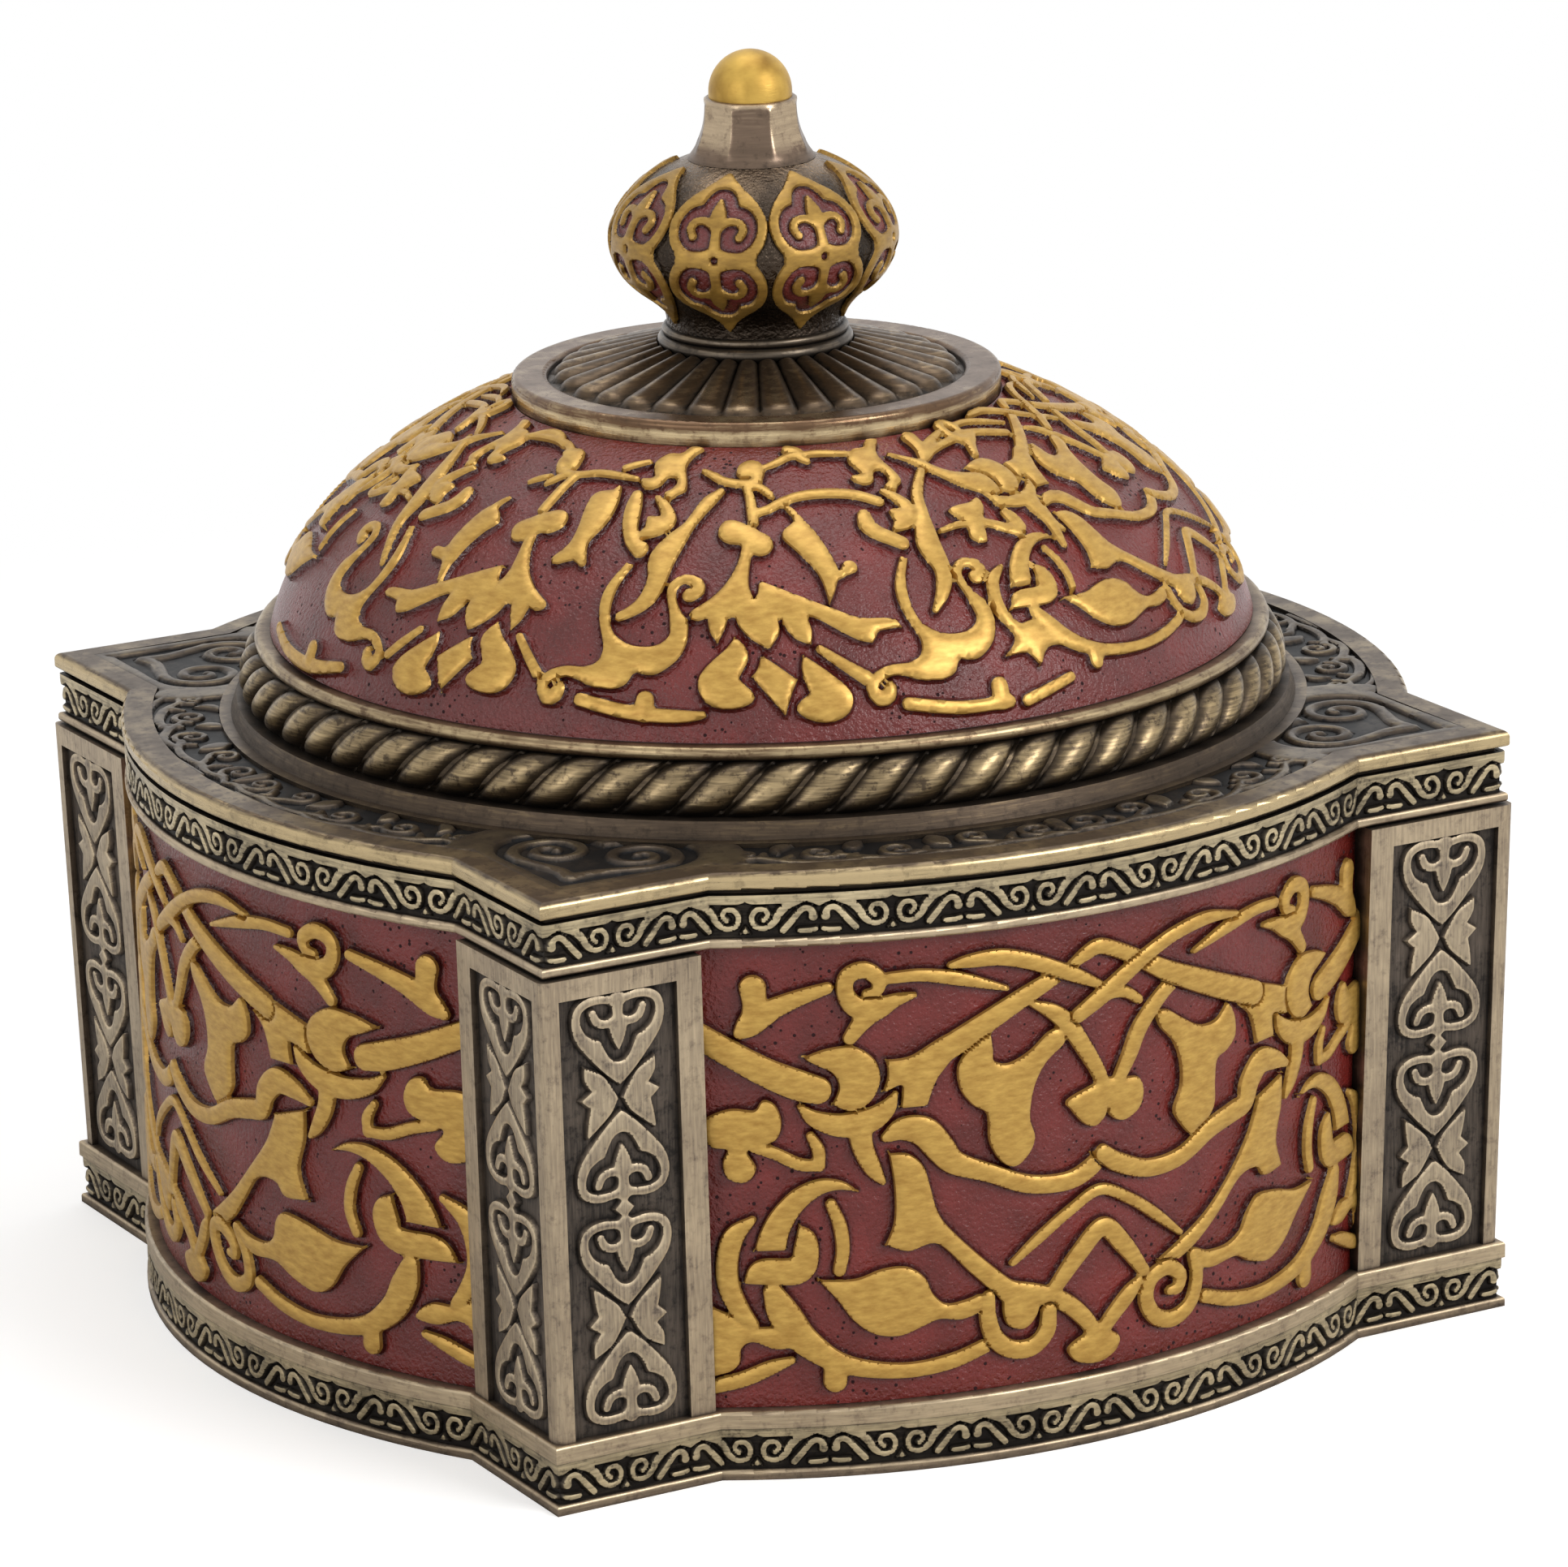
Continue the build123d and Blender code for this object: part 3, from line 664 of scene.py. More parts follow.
def gilded_enamel(name, enamel, pool_and_shade, gold, pits=True, bronze=None):
    """Gold on the raised parts, enamel on the ground, and bronze outside the bed if the piece has one.

    Enamel and gold are (dark, light) pairs, and bronze is dark, middle and bright, lighter towards the top.
    """
    material, tree, place = new_material(name)
    gap = add(tree, "ShaderNodeAttribute", attribute_name="gap").outputs["Fac"]
    cloud = add(tree, "ShaderNodeTexNoise", {
        "Vector": place, "Scale": 1 / (7 * MM), "Detail": 5, "Roughness": 0.6})
    grain = add(tree, "ShaderNodeTexNoise", {"Vector": place, "Scale": 1 / (0.45 * MM), "Detail": 3})
    run = add(tree, "ShaderNodeMapping", {"Vector": place, "Scale": (1, 1, 3), "Rotation": (0.4, 0.6, 0.6)})
    stroke = add(tree, "ShaderNodeTexNoise", {
        "Vector": run, "Scale": 1 / (1.5 * MM), "Detail": 4, "Roughness": 0.6})
    # The enamel darkens near each wall: real pooling, and painted shade at the foot of the relief.
    pool_and_shade_share = add(tree, "ShaderNodeMapRange", {"Value": gap, "From Min": GILD_LIMIT, "From Max": POOL_AND_SHADE_WIDTH})
    ground = add(tree, "ShaderNodeValToRGB", {"Fac": cloud}, [(0.3, enamel[0]), (0.7, enamel[1])])
    ground = add(tree, "ShaderNodeMix", {0: pool_and_shade_share, 6: colour(pool_and_shade), 7: ground}, data_type="RGBA")
    gold_depth = add(tree, "ShaderNodeMath", {0: grain, 1: 0.5, 2: stroke}, operation="MULTIPLY_ADD")
    depth, hole, metal = grain, 0.0, 0.0
    if pits:
        cells = add(tree, "ShaderNodeTexVoronoi", {
            "Vector": place, "Scale": 1 / (PINHOLE_MM * MM), "Randomness": 1.0})
        patches = add(tree, "ShaderNodeTexNoise", {"Vector": place, "Scale": 1 / (11 * MM), "Detail": 2})
        limit = add(tree, "ShaderNodeMapRange", {
            "Value": patches, "From Min": 0.42, "From Max": 0.6, "To Min": 0.04, "To Max": 0.2})
        hole = add(tree, "ShaderNodeMath", {0: cells, 1: limit}, operation="LESS_THAN")
        ground = add(tree, "ShaderNodeMix", {0: hole, 6: ground, 7: colour(PINHOLE_TONE)}, data_type="RGBA")
        depth = add(tree, "ShaderNodeMath", {0: hole, 1: -2.5, 2: grain}, operation="MULTIPLY_ADD")
    if bronze:
        bed = add(tree, "ShaderNodeAttribute", attribute_name="bed").outputs["Fac"]
        metal = add(tree, "ShaderNodeMath", {0: bed, 1: 0.0}, operation="GREATER_THAN")
        height = add(tree, "ShaderNodeSeparateXYZ", {0: place}).outputs["Z"]
        # The bronze of the bulb turns lighter towards its top.
        lighter_up = add(tree, "ShaderNodeMapRange", {
            "Value": height, "From Min": LIGHTER_FROM_MM * MM, "From Max": LIGHTER_TO_MM * MM, "To Max": 0.36})
        lighter_up = add(tree, "ShaderNodeMath", {0: lighter_up, 1: cloud}, operation="ADD")
        coat = add(tree, "ShaderNodeValToRGB", {"Fac": lighter_up}, [
            (0.3, bronze[0]), (0.65, bronze[1]), (1, bronze[2])])
        ground = add(tree, "ShaderNodeMix", {0: metal, 6: ground, 7: coat}, data_type="RGBA")
    gilt_tone = add(tree, "ShaderNodeValToRGB", {"Fac": stroke}, [(0.22, gold[0]), (0.78, gold[1])])
    # The gilding turns darker brown towards the edge of each strap's top.
    rim = add(tree, "ShaderNodeMapRange", {
        "Value": gap, "From Min": -0.16, "From Max": GILD_LIMIT, "To Max": GILT_EDGE_DARKENING})
    gilt_tone = add(tree, "ShaderNodeMix", {0: rim, 6: gilt_tone, 7: colour(RIM_TONE)}, data_type="RGBA")
    enamel_bump = add(tree, "ShaderNodeBump", {"Height": depth, "Strength": 0.8, "Distance": 0.3 * MM})
    gold_bump = add(tree, "ShaderNodeBump", {"Height": gold_depth, "Strength": 0.16, "Distance": 0.05 * MM})
    sheen = add(tree, "ShaderNodeMapRange", {"Value": grain, "To Min": 0.3, "To Max": 0.46})
    wet = add(tree, "ShaderNodeMath", {0: sheen, 1: 0.75, 2: hole}, operation="MULTIPLY_ADD")
    enamel_skin = add(tree, "ShaderNodeBsdfPrincipled", {
        "Base Color": ground, "Metallic": metal, "Roughness": wet, "Normal": enamel_bump})
    gold_skin = add(tree, "ShaderNodeBsdfPrincipled", {
        "Base Color": gilt_tone, "Metallic": 0.5, "Roughness": sheen, "Normal": gold_bump})
    gilt = add(tree, "ShaderNodeMath", {0: gap, 1: GILD_LIMIT}, operation="LESS_THAN")
    both = add(tree, "ShaderNodeMixShader", {0: gilt, 1: enamel_skin, 2: gold_skin})
    add(tree, "ShaderNodeOutputMaterial", {"Surface": both})
    return material


panel_enamel = gilded_enamel("panel_enamel", ("#5a1813", "#802a26"), "#300d0a", ("#a77c35", "#d9b05b"))
print("nodes in the panel enamel:", len(panel_enamel.node_tree.nodes))

# %% [markdown]
# ## The arabesque of the panels
# Each bowed panel carries the same strapwork, drawn in mm on the unrolled panel, across from its middle and
# up from the table. Towards the pillars it has interlaced crescents, buds and hooks. Most of the left half is
# drawn once and mirrored, and what differs from side to side is drawn on its own.

# %% Panel drawing at the pillars
panel_outer = [
    strap((-35.3, 45.3, 0.5), (-34.2, 46.2, 1.1), (-32.6, 47.4, 1), (-29.8, 48.6, 0.75),
        (-26.9, 49.5, 0.5)),
    strap((-33.9, 49.8, 1.2), (-33.8, 48.2, 1.05), (-34, 46.6, 1)),
    strap((-35.2, 45.4, 0.45), (-34.2, 46.4, 1), (-32.8, 47.2, 1)),
    strap((-18.6, 48.2, 0.2), (-20.5, 47.8, 0.6), (-22.4, 47.1, 1), (-24.3, 47.5, 0.95), (-25.2, 49, 0.75),
        (-24.9, 50.6, 0.75), (-23.3, 51.1, 0.75), (-22, 50.1, 0.7), (-22.2, 48.9, 0.5),
        (-23.2, 48.7, 0.35)),
    strap((-22, 47.3, 0.9), (-23.7, 45.9, 0.8), (-24.9, 44.4, 0.6)),
    leaf((-24.8, 28.9, 2), (-26.2, 29.9), (-28.4, 30.2), (-30.9, 29.2), (-33, 27.1), (-34.2, 24.9),
        (-34.7, 23.3, 2), (-31.9, 23.3, 2), (-31.4, 25.2), (-30.1, 27.3), (-28.2, 28.8), (-26.4, 29.2)),
    leaf((-30.4, 25.6, 2), (-29.2, 24.9), (-28.7, 23.2), (-29.1, 21), (-30.6, 19.8), (-33.2, 19.8),
        (-35.9, 20, 2), (-35.3, 21.6), (-34, 22.3), (-31.4, 22.3), (-31, 23.2)),
    strap((-34.9, 26.4, 0.3), (-36.7, 24.8, 0.9), (-37.5, 22.4, 1), (-37.5, 19.8, 1), (-36.6, 17.4, 0.9),
        (-35.4, 15.7, 0.6)),
    strap((-27.3, 27.7, 0.45), (-26.5, 25.4, 0.6), (-26.3, 23, 0.6), (-26.7, 20.9, 0.55)),
    leaf((-38.1, 37.1), (-36.3, 37.6), (-34.2, 37.4), (-33.4, 38.4), (-32.3, 37.9), (-31.8, 36.1),
        (-32.4, 34.5), (-34.2, 33.9), (-35.2, 33.3), (-34.4, 31.6), (-35.4, 30.3), (-37, 30.7),
        (-37.4, 32.2), (-36.9, 33.6), (-38.4, 33.9), (-39.2, 34.9), (-39.2, 36.3)),
    strap((-34.3, 33.8, 0.55), (-32.3, 33, 0.55), (-30.2, 31.9, 0.55), (-28.4, 31.7, 0.5)),
    strap((-28.3, 31.7, 0.5), (-28.3, 33.2, 0.55), (-29, 34.7, 0.35)),
    strap((-40.5, 45.9, 1.2), (-36.5, 43.4, 1.25), (-33, 41.3, 1.35), (-30, 39.9, 1.45),
        (-28.2, 39.3, 1.3)),
    leaf((-29.3, 42.6, 2), (-27.2, 43.3), (-24.6, 43.4), (-22.7, 42), (-22.2, 39.9), (-23.2, 37.9),
        (-25, 37.1), (-26.7, 37.8, 2), (-26, 39.5), (-26.6, 41), (-28, 41.8)),
    strap((-29.9, 37.7, 0.2), (-28.5, 36.4, 0.75), (-26, 35.6, 1.1), (-23.4, 35.9, 1.15), (-21.6, 37, 0.8),
        (-20.7, 38.4, 0.2)),
    strap((-24.3, 35.6, 1.1), (-24, 33.2, 0.95), (-23.1, 31, 0.75), (-22.2, 29.6, 0.25)),
    leaf((-41, 17.5), (-38, 16.9), (-35.6, 15.4), (-33, 15.2), (-31.2, 13.6), (-33.2, 13.2), (-35.4, 14),
        (-36.6, 13.3), (-36.9, 11.7), (-38.3, 10.8), (-41, 11)),
    strap((-40, 9.2, 0.6), (-36.5, 10.1, 0.7), (-33.8, 11.2, 0.65), (-31.7, 11.9, 0.3)),
]
panel_brace = [
    strap((-33.2, 18.9, 0.9), (-32.2, 16.6, 1.5), (-30.2, 13.7, 1.35), (-26.5, 11.2, 0.9), (-21, 10.1, 0.7),
        (-16, 10.5, 0.7), (-11.9, 11.8, 0.65)),
    strap((-27.6, 11.2, 0.9), (-27.5, 9.6, 1.1)),
]
print("shapes at one pillar:", len(panel_outer + panel_brace))

# %% [markdown]
# Between them runs a ribbon that waves across the middle, with a tulip above it and a volute and a long leaf
# at its foot on each side.

# %% Panel drawing of the two sides
panel_left = [
    strap((-20.9, 50.1, 0.5), (-17.8, 50.1, 0.55), (-14, 49.3, 0.6), (-9.4, 47.8, 0.2)),
    leaf((-21.4, 41.8, 2), (-19, 42), (-15.6, 43.6), (-15.2, 41.6), (-16.7, 39.5), (-17.7, 37, 2),
        (-20.1, 37, 2), (-20, 39.3), (-21.8, 38.7, 2), (-21.3, 40.3)),
    strap((-18.5, 41.1, 0.9), (-15.5, 42.5, 1.15), (-12, 44.4, 1.05), (-8, 46.5, 0.9), (-4.2, 48.3, 0.7)),
    leaf((-11.2, 43.4, 2), (-13, 42.3), (-14.4, 40.6), (-14.2, 38.2), (-13, 36.5), (-11.6, 35.4),
        (-11.4, 32.6), (-10.4, 30.6), (-9, 29.7), (-7.6, 30.6), (-6.8, 32.3), (-7.3, 34.5), (-6.8, 37.5),
        (-5.5, 39.8), (-3.5, 41.5), (-3.8, 42.8), (-5.2, 42.6), (-7.2, 41), (-9.4, 40.1), (-10.9, 40.6),
        (-11, 41.8)),
    leaf((-21.4, 32.3, 2), (-19.6, 32.1), (-18.2, 30.7), (-17.6, 28.6), (-17, 26.2), (-15.9, 24.3),
        (-12.5, 20.7), (-8.8, 17.4), (-6.2, 15.9), (-9.8, 16), (-13.5, 19.3), (-16.9, 22.8), (-19.9, 22.4),
        (-22, 23.2, 2), (-21.1, 25.5), (-21, 29)),
    strap((-21.7, 34.1, 0.45), (-20.1, 34.8, 1.05), (-18, 34.3, 1.4), (-16.4, 32.4, 1.35), (-15, 30.8, 1.1),
        (-11.5, 29.3, 0.85), (-7.5, 27.6, 0.85), (-3.5, 27.2, 0.85), (-1, 28, 0.9), (0.7, 29.4, 0.8),
        over=0.35),
    strap((-9.8, 16.9, 1), (-6.5, 16.1, 0.9), (-3.6, 14.7, 0.85), (-1.4, 12.6, 0.8), (-0.3, 10.8, 0.7)),
    strap((-11.9, 16.6, 0.6), (-12, 14.6, 0.8), (-11.3, 12.3, 0.85), (-9.6, 10.9, 0.85), (-7.4, 10.8, 0.85),
        (-5.8, 12.2, 0.85), (-5.5, 14.2, 0.75), over=0.3),
    leaf((-10.2, 16.2), (-8.4, 16.9), (-6.7, 15.9), (-6.9, 14.1), (-8.3, 12.9), (-10, 13.7)),
    leaf((-28.6, 19.9, 2), (-25.2, 19.8), (-22.5, 20.6), (-20.1, 20.6), (-18.4, 19.4), (-17.6, 17.6),
        (-16.2, 16.4), (-14, 16.6), (-12.7, 16.9), (-12.9, 15.4), (-14.8, 14.8), (-17, 15.1), (-18.8, 14.5),
        (-21, 13.8), (-23.5, 14.2), (-25.5, 15.8), (-27, 18)),
]
panel_right = [
    leaf((7.1, 42.5, 2), (8.4, 42.5), (10.4, 41.2), (12.6, 40), (14.6, 40), (15.8, 41), (16.4, 41.4),
        (17.2, 40), (17.3, 38), (16.2, 36.8), (14.8, 36.1), (14.5, 34), (14.4, 31.5), (13, 29.8),
        (11.5, 29.2), (10, 30.7), (9.3, 32.2), (10.2, 34.5), (10.1, 37), (9.2, 39.2), (7.6, 41)),
    leaf((19.8, 42.6), (25.1, 41, 2), (24.9, 39.8), (25.3, 38.2, 2), (23, 38.8), (23.1, 36.5, 2),
        (20.6, 36.4, 2), (19.6, 39.5), (17.2, 41.8)),
    leaf((20.9, 30.6, 2), (24.5, 32, 2), (24.4, 29), (23.6, 25.6), (24.5, 22.7, 2), (21.9, 22.3),
        (20.6, 23.5), (18, 23.1), (15, 20.2), (12, 17.8), (9.2, 16.5), (7.2, 16.8), (9.8, 18.3),
        (13.5, 20.6), (17, 24), (19.3, 27), (20.3, 29)),
    strap((0.7, 29.4, 0.8), (2.5, 28.1, 0.9), (6, 26.8, 0.85), (10, 27.1, 0.85), (14, 29.1, 0.95),
        (17, 30, 1), (18.9, 30.6, 1.05), (19.6, 32.6, 1.3), (21.2, 34.2, 1.3), (23.4, 33.9, 0.95),
        (25.2, 33.1, 0.4), over=0.35),
    strap((11.7, 16.6, 0.55), (12.2, 14.2, 0.7), (11.4, 11.7, 0.75), (9.2, 10.5, 0.8), (6.9, 11.2, 0.8),
        (5.7, 13.3, 0.8), (6.4, 15.3, 0.75), (8.4, 16, 0.75), (10, 14.9, 0.7), (9.7, 13.6, 0.6),
        (8.6, 13.5, 0.4), over=0.3),
    leaf((30, 19.4, 2), (27, 19.3), (24, 20.1), (21, 20.4), (19.5, 19.3), (18.3, 17.4), (16.4, 16.4),
        (13.8, 16.4), (12.1, 17), (12.4, 15.5), (14, 14.7), (17.5, 15), (19.8, 13.9), (22.5, 13.3),
        (25, 14.5), (27.3, 17)),
]
print("shapes of the sides:", len(panel_left), len(panel_right))

# %% [markdown]
# A pointed arch of crossing straps stands over a pendant in the middle. Outer shapes mirror about an axis
# that lies a little to the right, because the carver's design does.

# %% Panel drawing of the middle
OUTER_AXIS, BRACE_AXIS, TOP_STRAP_AXIS = 1.5, 0.7, 1.2

panel_middle = [
    strap((-6.7, 45.8, 0.25), (-4.6, 44.7, 0.7), (-3, 43.2, 0.85), (-1.3, 40.6, 0.8), (0.2, 38, 0.7),
        (1, 36, 0.6)),
    strap((9.9, 45.7, 0.6), (7.6, 44.2, 0.75), (5.2, 41.6, 0.85), (3.8, 38.8, 0.8), (2.3, 36.2, 0.6)),
    leaf((1.1, 36.9), (-0.6, 36.4), (-3.2, 35.4), (-2.8, 34.6), (-1.5, 33), (-0.2, 32.4), (0.9, 33.2),
        (1.2, 34.1, 2), (1.6, 33.2), (3, 32.4), (4.8, 33.2), (5.4, 34.8), (4.9, 36.3), (3, 36.6)),
    strap((-2.6, 49.1, 0.4), (-1, 50, 0.65), (0.5, 50.5, 0.7), (2.5, 49.8, 0.7), (5, 48.5, 0.75),
        (8.5, 46.5, 0.95), (12, 44.9, 1.1), (16, 43.2, 1.2), (20.2, 41.6, 1.2), over=0.25),
    strap((-15, 50.8, 0.25), (-13, 51, 0.6), (-10, 51, 0.75), (-7, 50.2, 0.75), (-4, 48.9, 0.7),
        (-1.5, 47.7, 0.6), (0.8, 46.5, 0.3), over=0.25),
    strap((-1.9, 43.9, 0.7), (1, 45.6, 0.85), (3.5, 47.2, 0.8), (6.3, 48.8, 0.7), (9.5, 50.1, 0.65),
        (13.5, 50.8, 0.6), (17.6, 50.4, 0.2), over=0.25),
    strap((1.5, 45.6, 0.5), (3.5, 45.3, 0.5), (5, 44.3, 0.4)),
    strap((-9.3, 19.8, 0.3), (-6.5, 21.9, 0.5), (-3, 24.2, 0.5), (0.4, 25.7, 0.5), (4, 24, 0.5),
        (7, 21.8, 0.5), (10, 19.3, 0.25)),
    strap((-4.8, 16.5, 0.7), (-2.2, 19.5, 0.9), (0.6, 21.8, 0.9), (3, 19.6, 0.9), (5.4, 16.4, 0.6)),
    leaf((-3.4, 9.9), (-1.8, 10.9), (-0.3, 11.4), (1.2, 10.9), (2.4, 10.1), (2, 8.9), (0.6, 8.1), (-0.8, 8),
        (-2.5, 8.5)),
    strap((0.3, 11, 0.7), (2, 12.8, 0.8), (3.6, 14.3, 0.8), (4.9, 15.4, 0.4)),
]
arabesque = (
    panel_outer + mirrored(panel_outer, OUTER_AXIS) + panel_brace + mirrored(panel_brace, BRACE_AXIS)
    + mirrored(panel_left[:1], TOP_STRAP_AXIS) + panel_left + panel_right + panel_middle
)
print("shapes in the arabesque:", len(arabesque))

# %% [markdown]
# ## The four enamel panels
# A panel is a plate bent to the bow of its wall, so the drawing is wrapped on an arc of that radius. The
# carver's design sits off the middle on the left panel, so its points are slid sideways there, most in the
# middle and least at the pillars. Each panel stands for its CAD node, with the same edges.

# %% Panels
HALF_SIDE, CORNER_WIDTH, BOW_RISE = 55.0, 18.0, 10.6
HALF_CHORD = HALF_SIDE - CORNER_WIDTH
BOW_RADIUS = (HALF_CHORD**2 + BOW_RISE**2) / (2 * BOW_RISE)
BOW_CENTRE = BOW_RADIUS - HALF_SIDE - BOW_RISE
PLINTH_TOP, WALL_TOP = 7.0, 53.8
PILLAR_WIDTH, PILLAR_FOOT_INSET, PILLAR_LEAN = 17.3, 0.4, 1.0
PANEL_GROUND_INSET, PANEL_RELIEF, PANEL_THICKNESS, PANEL_SLACK = 1.35, 0.95, 1.2, 0.02
PANEL_HALF_RUN, PANEL_GRID = 40.0, 0.21
SLIDE_MM, SLIDE_END = 10, 44


def pillar_half(z):
    """Half the distance between opposite pillar faces at height z."""
    return HALF_SIDE - PILLAR_FOOT_INSET + (z - PLINTH_TOP) / (WALL_TOP - PLINTH_TOP) * PILLAR_LEAN


def on_panel(across, z, out):
    """A point of the front panel: across runs along the bow, and out stands off the enamel ground."""
    radius = BOW_RADIUS - PANEL_GROUND_INSET
    edge = np.arcsin((pillar_half(z) - PILLAR_WIDTH - PANEL_SLACK) / radius)
    return around(radius + out, across / PANEL_HALF_RUN * edge, z) + (0, BOW_CENTRE, 0)


def off_middle(points):
    """Slides the design as on the left panel, less towards its foot and its ends."""
    s, z = points[:, 0], points[:, 1]
    reach = np.clip(0.45 + (z - 12) / 10 * 0.55, 0.45, 1)
    points[:, 0] = s - SLIDE_MM * reach * np.clip(1 - (s / SLIDE_END) ** 2, 0, 1)
    return points


def even_grid(low, high, step):
    """Grid values about a step apart, with an even number of cells between them."""
    return np.linspace(low, high, 2 * int((high - low) / step / 2 + 0.5) + 1)


def panel_drawing(move=None):
    drawing = Drawing(
        even_grid(-PANEL_HALF_RUN, PANEL_HALF_RUN, PANEL_GRID),
        even_grid(PLINTH_TOP + PANEL_SLACK, WALL_TOP - PANEL_SLACK, PANEL_GRID))
    drawing.draw(arabesque, move)
    return drawing


centred, slid = panel_drawing(), panel_drawing(off_middle)
for quarter, (side, drawing) in enumerate(
        (("front", centred), ("right", centred), ("back", centred), ("left", slid))):
    panel = body_from(f"panel_{side}", *carve(drawing, on_panel, PANEL_RELIEF, PANEL_THICKNESS))
    panel.data.transform(Matrix.Rotation(quarter * pi / 2, 4, "Z"))
    finish_piece(panel, "box", panel_enamel, "red_enamel_resin", f"enamel_panel_{side}")

# %% [markdown]
# ## The arabesque of the dome
# Round the dome two kinds of field take turns: the strapwork of the panels, and a flower between two swans
# with sprigs above. The drawing is made on a conformal map of the dome, where one unit across and one unit up
# are the same length at every height. Circles stay circles and straps keep their width, up to the crown.

# %% Dome map
DOME_RADIUS, DOME_RISE, DOME_FOOT_Z = 51.0, 32.1, 65.2
DOME_FIRST, DOME_LAST = radians(8.55), radians(60.55)
DOME_SKIN, DOME_RELIEF, DOME_COAT_THICKNESS = 0.12, 0.85, 0.5


def dome_map():
    """Tables of the conformal height against the share of the way up."""
    share = np.linspace(0, 1, 2001)
    turn = DOME_FIRST + share * (DOME_LAST - DOME_FIRST)
    run = np.hypot(DOME_RADIUS * np.sin(turn), DOME_RISE * np.cos(turn))
    rate = run / (DOME_RADIUS * np.cos(turn)) * (DOME_LAST - DOME_FIRST)
    return share, np.concatenate([[0], np.cumsum((rate[1:] + rate[:-1]) / 2 * np.diff(share))])


dome_share, dome_rise = dome_map()
print("the map of the dome is", round(dome_rise[-1], 3), "high and", round(2 * pi, 3), "round")


def dome_turn(rise):
    """The angle up the dome's ellipse at a conformal height."""
    return DOME_FIRST + np.interp(rise, dome_rise, dome_share) * (DOME_LAST - DOME_FIRST)


def on_dome(angle, rise, out):
    """A point of the dome: angle runs round from the front, rise is the conformal height."""
    turn = dome_turn(rise)
    nr, nz = DOME_RISE * np.cos(turn), DOME_RADIUS * np.sin(turn)
    length = np.hypot(nr, nz)
    radius = DOME_RADIUS * np.cos(turn) + nr / length * (out + DOME_SKIN)
    height = DOME_FOOT_Z + DOME_RISE * np.sin(turn) + nz / length * (out + DOME_SKIN)
    return around(radius, angle, height)


# %% [markdown]
# The flower, the swan and the creature above them are drawn once around their own middle, in degrees round
# the dome, percent of the way up, and mm of half width.

# %% Flower, swan and creature
flower = [
    strap((-1.3, 83.2, 0.35), (-0.6, 79, 0.45), (-0.3, 75, 0.5), (0, 70, 0.5)),
    strap((-1, 83, 0.3), (1, 82.7, 0.4), (2.7, 80, 0.4), (3.1, 78.8, 0.2)),
    leaf((-5.2, 67.6), (-4.5, 70.2), (-3, 70.6), (-1.4, 69.4), (-0.2, 68.4), (1, 66.5), (2.4, 64.8),
        (2.7, 62), (2, 59.6), (0.7, 59), (-0.5, 60.4), (-1.5, 61.4), (-1.8, 62.8), (-3.5, 63.1),
        (-4.8, 64.8)),
    leaf((-7.9, 40.6), (-7, 42.2), (-5.5, 44.8), (-4, 48.5), (-3, 52), (-2, 57), (-1.5, 61.5), (-0.4, 61.5),
        (-0.7, 55), (-0.8, 50), (-0.5, 47), (0, 44.8, 2), (0.6, 46.4), (0.8, 50.4, 2), (3, 48.2), (6, 45),
        (10, 40.5), (13, 37.3), (16, 36.6), (17.4, 35.8), (17.8, 33.8, 2), (15, 33.2), (14.6, 31.5),
        (14, 29.8, 2), (12.5, 30.8), (10.2, 34.4), (8, 38), (6.4, 39.8, 2), (6.6, 37.2), (6.9, 34),
        (6.6, 30.4, 2), (5, 32.2), (4, 35.5), (3.5, 38.5, 2), (2.8, 38.3, 2), (3, 35), (2.4, 31.8),
        (1.7, 29.5, 2), (0, 32), (-1.6, 36), (-2.2, 39.6, 2), (-3.3, 39.4, 2), (-3.7, 35.5),
        (-4.4, 31.8, 2), (-5.3, 35), (-5.6, 39.5, 2), (-6.8, 38.3), (-7.7, 38.9)),
    leaf((-2.3, 32.5, 2), (-1.2, 30), (-0.8, 26.5), (-1.4, 23), (-2, 20, 2), (-1.2, 18), (-0.3, 15.5),
        (-0.2, 13.5), (-1.4, 11.6), (-3.6, 11), (-5.4, 13), (-6.3, 17), (-6.2, 21), (-4.8, 25.5),
        (-3.3, 29)),
    leaf((0.8, 27, 2), (2.5, 23.8), (4.7, 19.2, 2), (4, 15), (3.3, 9.2, 2), (1.6, 14.8), (-0.1, 20.5, 2),
        (0.6, 23.8)),
    leaf((5.8, 26.3, 2), (7.5, 23), (9.5, 18.5), (10.8, 14.5), (10.8, 10.5), (9.7, 7.2), (7.8, 5.9),
        (5.8, 7.4), (4.7, 10.2), (5.3, 12.8), (6.4, 14.7, 2), (5.8, 19), (5.5, 23.5)),
]
